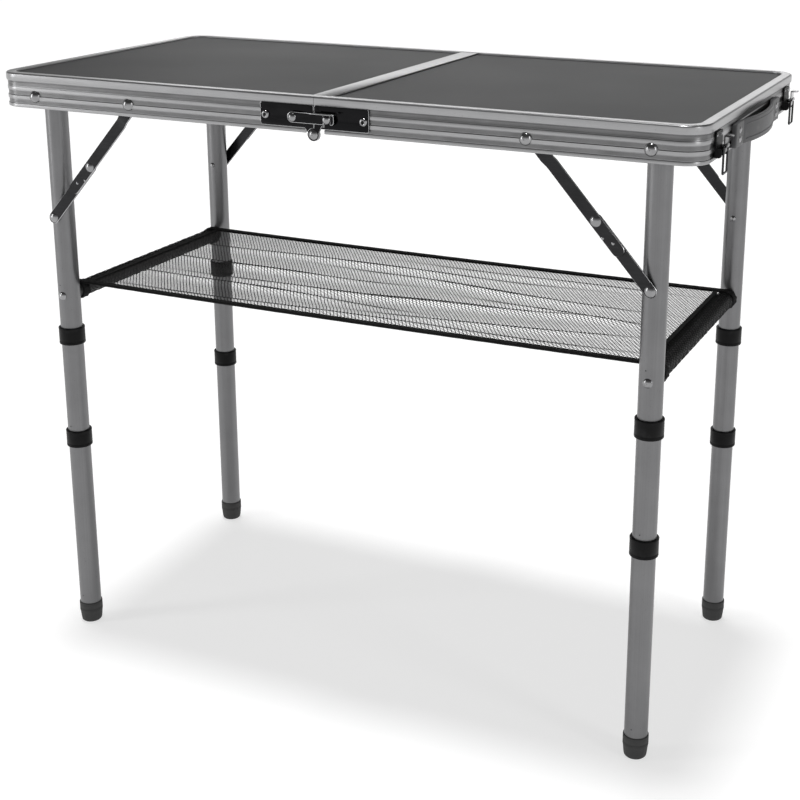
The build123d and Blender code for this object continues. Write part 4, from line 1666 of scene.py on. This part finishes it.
@dataclass
class Shelf:
    """Mesh shelf with its webbing bindings, sleeves and hem tapes."""

    bench: Bench
    half_length: float = 350 * MM
    split: float = 130 * MM
    half_width: float = 141 * MM
    height: float = 428.4 * MM
    pitch: float = 2.2 * MM
    row: float = 3.1 * MM
    yarn: float = 0.54 * MM
    flatness: float = 0.6
    sag: float = 5.0 * MM
    crease: float = 3.6 * MM
    draw: float = 4.2 * MM
    lines: tuple[tuple[float, ...], ...] = (
        (-0.117, 0.012, 0.02, 1.0, 0.34), (-0.080, 0.090, 0.17, 0.85, 0.12),
        (-0.066, -0.035, -0.17, 0.95, 0.15), (-0.030, 0.055, 0.03, 1.0, 0.20),
        (-0.012, -0.110, 0.22, 0.8, 0.09), (0.012, 0.030, -0.20, 0.95, 0.13),
        (0.040, -0.075, 0.10, 0.9, 0.15), (0.078, 0.020, -0.10, 0.95, 0.22),
        (0.105, -0.030, 0.15, 0.8, 0.14),
    )
    tube_x: float = 350 * MM
    tube_z: float = 419.5 * MM
    sleeve: float = 9.0 * MM

    def creases(self, x: np.ndarray, y: np.ndarray) -> Iterable[tuple[np.ndarray, np.ndarray]]:
        """Go through the creases of the net.

        Args:
            x: Places along the shelf.
            y: Places across it.

        Yields:
            How far the places lie behind a crease, and its strength there.
        """
        along = np.clip(1 - (x / self.half_length) ** 2, 0, 1) ** 0.5
        for centre, slope, middle, strength, reach in self.lines:
            line = centre + slope * (x - middle) + 0.003 * np.sin(14 * x + 40 * centre)
            yield y - line, strength * along * np.exp(-(((x - middle) / reach) ** 2))

    def drop(self, x: np.ndarray, y: np.ndarray) -> np.ndarray:
        """How far the slack net lies above its level plane, less its sag.

        Args:
            x: Places along the shelf.
            y: Places across it.

        Returns:
            The heights there.
        """
        along = np.clip(1 - (x / self.half_length) ** 2, 0, 1)
        across = np.clip(1 - (y / self.half_width) ** 2, 0, 1)
        low = -self.sag * along * (0.25 + 0.75 * across)
        wave = 0.6 * MM * np.sin(31 * x + 17 * y) * along * across
        for behind, strength in self.creases(x, y):
            wide = np.where(behind < 0, 0.012, 0.002)
            wave = wave + self.crease * strength * np.exp(-((behind / wide) ** 2))
        return low + wave * (0.15 + 0.85 * across)

    def gather(self, x: np.ndarray, y: np.ndarray) -> np.ndarray:
        """How far the yarns are drawn sideways into the creases.

        Args:
            x: Places along the shelf.
            y: Places across it.

        Returns:
            The shifts there.
        """
        pull = np.zeros_like(x)
        for behind, strength in self.creases(x, y):
            near = np.exp(-((behind / 0.010) ** 2))
            pull -= self.draw * strength * near * np.tanh(behind / 0.0028)
        return pull * np.clip(1 - (y / (self.half_width - 4 * MM)) ** 2, 0, 1) ** 0.3

    def flat_net(
        self, wide: float, strands: int, knots: int, seed: int, rule: Callable[..., np.ndarray]
    ) -> Mesh:
        """A flat piece of net, then moved by a rule.

        Args:
            wide: Its width across the strands.
            strands: How many strands it has.
            knots: How many knots each has.
            seed: Seed of the yarns' unevenness.
            rule: Gives the points their places.

        Returns:
            The net, with its cloth coordinates.
        """
        mesh = self.bench.net.make(
            wire_mesh([(0, 0, 0), (0, 0, MM)]),
            Strands=strands, Pitch=wide / strands, Knots=knots, Row=self.row,
            Yarn_Radius=self.yarn, Seed=seed, Finish=NET.material(),
        )
        spots = np.empty(len(mesh.vertices) * 3, np.float32)
        mesh.vertices.foreach_get("co", spots)
        spots = spots.reshape(-1, 3).astype(float)
        cloth_coordinates(mesh, spots)
        mesh.vertices.foreach_set("co", rule(spots).astype(np.float32).ravel())
        mesh.update()
        return mesh

    def panel(self, start: float, end: float, seed: int) -> Mesh:
        """A piece of the shelf's net, draped.

        Args:
            start: Where it starts along the table.
            end: Where it ends.
            seed: Seed of the yarns' unevenness.

        Returns:
            The net.
        """
        strands = int(round((end - start) / self.pitch))
        knots = int(2 * self.half_width / self.row)
        shift = -self.row * knots / 2

        def drape(p: np.ndarray) -> np.ndarray:
            """Lay the flat net into its place, gathered into creases and sagging.

            Args:
                p: The flat net's points.

            Returns:
                Their places.
            """
            x, y = p[:, 0] + start + self.pitch / 2, p[:, 1] + shift
            y = y + self.gather(x, y)
            return np.column_stack([x, y, p[:, 2] * self.flatness + self.height + self.drop(x, y)])

        return self.flat_net(end - start, strands, knots, seed, drape)

    def edge_lift(self, x: float) -> float:
        """Height of the net along its bound edge."""
        return float(self.drop(np.array([x]), np.array([0.139]))[0])

    def binding(self, start: float, end: float, sign: float) -> Mesh:
        """Folded webbing tape over one long edge, with two rows of stitches.

        Args:
            start: Where it starts along the table.
            end: Where it ends.
            sign: The edge's side along Y.

        Returns:
            The tape.
        """
        bend, inner = 1.2, 134.0
        outline = [
            (144 - bend + bend * math.cos(t), bend * math.sin(t))
            for t in np.radians(np.linspace(-90, 90, 9))
        ]
        upper = [(139, 1.22), (inner + 0.3, 1.15), (inner, 0.95), (inner, 0.62)]
        upper += [(inner + 0.4, 0.5), (141.6, 0.5)]
        outline += [*upper, (142, 0.0), *[(y, -z) for y, z in reversed(upper)]]
        rings = []
        for x in np.linspace(start, end, max(6, int((end - start) / (9 * MM)))):
            ripple = 0.12 * MM * math.sin(x * 210) + 0.08 * MM * math.sin(x * 470 + 1)
            base = 429.0 * MM + self.edge_lift(x)
            rings.append([(x, sign * (y + ripple), base + z) for y, z in mm(outline)])
        tape = tinted(loft(rings), WEBBING)
        cloth_coordinates(tape, np.array([v.co for v in tape.vertices]))
        stitch = pattern_piece("stitch", self.stitch())
        places = [
            ((x, sign * y, 430.2 * MM + self.edge_lift(x)), (0.0, 0.0, 1.0))
            for y in (135.6 * MM, 141.2 * MM)
            for x in np.arange(start + 1.7 * MM, end - MM, 3.4 * MM)
        ]
        return joined([tape, self.bench.repeat(stitch, places, THREAD)])

    def stitch(self) -> Mesh:
        """One short stitch along X that dips into the tape at both ends.

        Returns:
            The stitch.
        """
        half = ((1.3, -0.25, 0.08), (1.1, 0.0, 0.2), (0.5, 0.14, 0.26))
        rows = [(-x, z, wide) for x, z, wide in half] + list(reversed(half))
        turns = np.linspace(0, 2 * math.pi, 7)[:-1]
        return loft([
            mm([(x, wide * math.cos(t), z + wide * math.sin(t)) for t in turns])
            for x, z, wide in rows
        ])

    def sleeve_mesh(self, side: str, seed: int) -> Mesh:
        """Net wrapped round a cross tube, closed where it comes back under the shelf.

        Args:
            side: The tube's side.
            seed: Seed of the yarns' unevenness.

        Returns:
            The net.
        """
        sx, around = SIDES[side], 2 * math.pi * self.sleeve
        knots = int(2 * 133 * MM / self.row)
        shift = -self.row * knots / 2

        def wrap(p: np.ndarray) -> np.ndarray:
            """Roll the flat net round the tube.

            Args:
                p: The flat net's points.

            Returns:
                Their places.
            """
            turn = p[:, 0] / self.sleeve
            pucker = 0.25 * MM * np.sin(p[:, 1] * 420 + 3 * turn)
            far = self.sleeve + p[:, 2] * self.flatness + pucker
            x = sx * self.tube_x + far * np.sin(turn) * sx
            return np.column_stack([x, p[:, 1] + shift, self.tube_z + far * np.cos(turn)])

        mesh = self.flat_net(around, int(around / self.pitch), knots, seed, wrap)
        tidy(mesh)
        return mesh

    def hem(self, side: str) -> Mesh:
        """Hem tape that closes the sleeve, ragged along its free edge.

        Args:
            side: The sleeve's side.

        Returns:
            The tape with its gathered ends.
        """
        rings, seam = [], []
        for y in np.linspace(-137, 137, 92):
            rag = 0.15 * math.sin(y * 1.9) + 0.105 * math.sin(y * 4.3 + 1) + 0.06 * math.sin(y * 0.6)
            wave = 0.25 * math.sin(y * 0.9) + 0.15 * math.sin(y * 2.7)
            rings.append([(x, y, z) for x, z in (
                (341.5, 421.0), (339.8, 424.0 + wave), (338.4, 426.4 + wave), (336.8 + rag, 427.3),
                (336.4 + rag, 426.6), (337.4, 425.4 + wave), (338.8, 423.0 + wave), (340.6, 420.4),
            )])
        for y in np.linspace(-137, 137, 69):
            rag = 0.18 * math.sin(y * 1.1) + 0.12 * math.sin(y * 3.3)
            seam.append([(x, y, z) for x, z in (
                (341.4 + rag, 428.9), (341.2 + rag, 429.5), (339.0, 429.75), (336.0 + rag, 429.5),
                (335.7 + rag, 428.9), (338.5, 428.6),
            )])
        sx = SIDES[side]
        parts = [
            loft([[(sx * x, y, z) for x, y, z in mm(ring)] for ring in row]) for row in (rings, seam)
        ]
        parts += [self.bunch(side, end) for end in ENDS.values()]
        tape = tinted(joined(parts), WEBBING)
        cloth_coordinates(tape, np.array([v.co for v in tape.vertices])[:, [1, 0, 2]])
        return tape

    def bunch(self, side: str, end: float) -> Mesh:
        """End of a binding, gathered round the cross tube in small folds.

        Args:
            side: The tube's side.
            end: The binding's side along Y.

        Returns:
            The gathered end.
        """
        profile = [
            (8.3, 133.4), (9.6, 132.6), (10.6, 133.6), (10.9, 136.0), (10.3, 137.6), (10.7, 139.2),
            (10.9, 141.6), (10.5, 143.8), (9.5, 144.8), (8.3, 144.4),
        ]
        corners, faces, steps, count = [], [], 48, len(profile)
        for step in range(steps):
            t = 2 * math.pi * step / steps
            there = (step + 1) % steps * count - step * count
            for i, (far, y) in enumerate(profile):
                fold = 0.0 if far < 8.5 else 0.45 * math.sin(7 * t + y * 0.9) + 0.25 * math.sin(11 * t)
                wide = (far + fold) * MM
                x = SIDES[side] * self.tube_x + wide * math.sin(t)
                corners.append((x, end * y * MM, self.tube_z + wide * math.cos(t)))
                a, b = step * count + i, step * count + (i + 1) % count
                faces.append((a, a + there, b + there, b))
        return mesh_of(corners, faces)

    def build(self) -> None:
        """The shelf in three lengths, left fixed in place, and the sleeves and hems that ride on the leg
        frames.
        """
        parts = {
            "left": (-self.half_length, -self.split, "left_leg_frame", "left_half", (-0.35, -0.15)),
            "middle": (-self.split, self.split, "left_half", "right_half", (-0.12, 0.12)),
            "right": (self.split, self.half_length, "right_half", "right_leg_frame", (0.15, 0.35)),
        }
        stands = {"left": [], "middle": ["shelf_mesh", "shelf_bindings"], "right": []}
        for number, (name, (start, end, first, second, turn)) in enumerate(parts.items()):
            net = keep(f"shelf_net_{name}", self.panel(start, end, 11 + number), NET, 80)
            net.data.materials.clear()
            net.data.materials.append(NET.material())
            tapes = [
                keep(f"shelf_binding_{edge}_{name}", self.binding(start, end, sy), None, 50)
                for edge, sy in ENDS.items()
            ]
            for piece in (net, *tapes):
                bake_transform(piece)
            if stands[name]:
                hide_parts(*stands[name])
        for number, side in enumerate(SIDES):
            net = put(
                f"{side}_sleeve_net", self.sleeve_mesh(side, 21 + number), f"{side}_leg_frame",
                (), NET, 80,
            )
            hem = put(
                f"{side}_sleeve_hem", self.hem(side), f"{side}_leg_frame", (), None, 50
            )


def cloth_coordinates(mesh: Mesh, spots: np.ndarray) -> None:
    """Lay the piece's own cloth coordinates.

    Args:
        mesh: The piece's mesh.
        spots: Flat position of each of its points, in metres.
    """
    layer = mesh.uv_layers.get("cloth") or mesh.uv_layers.new(name="cloth")
    corners = np.empty(len(mesh.loops), np.int32)
    mesh.loops.foreach_get("vertex_index", corners)
    layer.data.foreach_set("uv", spots[corners][:, :2].astype(np.float32).ravel())


# --- Studio -----------------------------------------------------------------


@dataclass
class Studio:
    """Floor, soft lights and camera."""

    yaw: float = 23.777
    pitch: float = 16.102
    roll: float = 0.326
    place: Point = (0.7268, -1.4802, 0.9122)
    lens: float = 66.49
    shift: tuple[float, float] = (-0.075, -0.15)

    def floor(self) -> None:
        """A wide pale floor."""
        size, count = 40.0, 8
        line = np.linspace(-size, size, count + 1)
        corners = [(x, y, 0.0) for y in line for x in line]
        row = count + 1
        firsts = [j * row + i for j in range(count) for i in range(count)]
        faces = [(k, k + 1, k + row + 1, k + row) for k in firsts]
        keep("floor", mesh_of(corners, faces), FLOOR)

    def lamp(self, name: str, place: Point, aim: Point, size: tuple[float, float], power: float) -> None:
        """A rectangular soft light.

        Args:
            name: Its name.
            place: Where it stands.
            aim: Where it points.
            size: Its width and height.
            power: Its power, in watts.
        """
        data = bpy.data.lights.new(name, "AREA")
        data.shape = "RECTANGLE"
        data.size, data.size_y = size
        data.energy = power
        lamp = bpy.data.objects.new(name, data)
        lamp.location = place
        lamp.rotation_mode = "QUATERNION"
        lamp.rotation_quaternion = (Vector(aim) - Vector(place)).to_track_quat("-Z", "Y")
        bpy.context.scene.collection.objects.link(lamp)

    def sun(self, power: float, tilt: tuple[float, float], spread: float) -> None:
        """Overhead light with soft shadows.

        Args:
            power: Its strength.
            tilt: Degrees that it is turned about X and Y.
            spread: Its angle, in degrees.
        """
        data = bpy.data.lights.new("overhead", "SUN")
        data.energy, data.angle = power, math.radians(spread)
        lamp = bpy.data.objects.new("overhead", data)
        lamp.rotation_euler = (math.radians(tilt[0]), math.radians(tilt[1]), 0.0)
        bpy.context.scene.collection.objects.link(lamp)

    def sky(self) -> None:
        """Surroundings that are pale at the horizon and darker overhead."""
        world = bpy.data.worlds.new("studio")
        world.use_nodes = True
        tree = world.node_tree
        way = tree.nodes.new("ShaderNodeTexCoord")
        parts = tree.nodes.new("ShaderNodeSeparateXYZ")
        ramp = tree.nodes.new("ShaderNodeValToRGB")
        ramp.color_ramp.interpolation = "EASE"
        stops = [(0.0, 1.0), (0.05, 1.0), (0.22, 0.42), (0.65, 0.1)]
        while len(ramp.color_ramp.elements) < len(stops):
            ramp.color_ramp.elements.new(0.5)
        for element, (height, tone) in zip(ramp.color_ramp.elements, stops):
            element.position = height
            element.color = (tone, tone, tone, 1.0)
        tree.links.new(way.outputs["Generated"], parts.inputs[0])
        tree.links.new(parts.outputs["Z"], ramp.inputs[0])
        sky = tree.nodes["Background"]
        tree.links.new(ramp.outputs["Color"], sky.inputs["Color"])
        bpy.context.scene.world = world

    def camera(self) -> None:
        """Camera at the wanted viewing angle."""
        yaw, pitch, roll = (math.radians(v) for v in (self.yaw, self.pitch, self.roll))
        ahead = Vector((-math.sin(yaw) * math.cos(pitch), math.cos(yaw) * math.cos(pitch), -math.sin(pitch)))
        level = Vector((math.cos(yaw), math.sin(yaw), 0.0))
        above = level.cross(ahead)
        right = level * math.cos(roll) + above * math.sin(roll)
        up = above * math.cos(roll) - level * math.sin(roll)
        data = bpy.data.cameras.new("camera")
        data.sensor_width = 36.0
        data.lens = self.lens
        data.shift_x, data.shift_y = self.shift
        data.clip_start, data.clip_end = 0.05, 200.0
        camera = bpy.data.objects.new("camera", data)
        turn = Matrix((right, up, -ahead)).transposed().to_4x4()
        camera.matrix_world = Matrix.Translation(self.place) @ turn
        bpy.context.scene.collection.objects.link(camera)
        bpy.context.scene.camera = camera

    def build(self) -> None:
        """Everything round the table."""
        self.floor()
        self.sun(2.0, (-2.0, -3.0), 9.0)
        self.lamp("left_strip", (-2.4, -1.7, 1.1), (0.0, 0.0, 0.4), (0.5, 1.8), 16.0)
        self.lamp("right_strip", (2.6, -0.9, 1.4), (0.1, 0.0, 0.45), (0.5, 1.6), 9.0)
        self.lamp("back_strip", (-1.2, 3.2, 1.5), (0.0, 0.0, 0.65), (2.6, 0.7), 10.0)
        self.sky()
        bpy.context.scene.view_settings.view_transform = "Standard"
        self.camera()


def main() -> None:
    """Build the table piece by piece, then its studio."""
    logging.basicConfig(level=logging.INFO, format="%(name)s: %(message)s")
    bench = Bench()
    for assembly in (Top, Hinges, Handle, Latches, Legs, Braces, Shelf):
        LOG.info("building %s", assembly.__name__)
        assembly(bench).build()
    Studio().build()


if __name__ == "__main__":
    main()
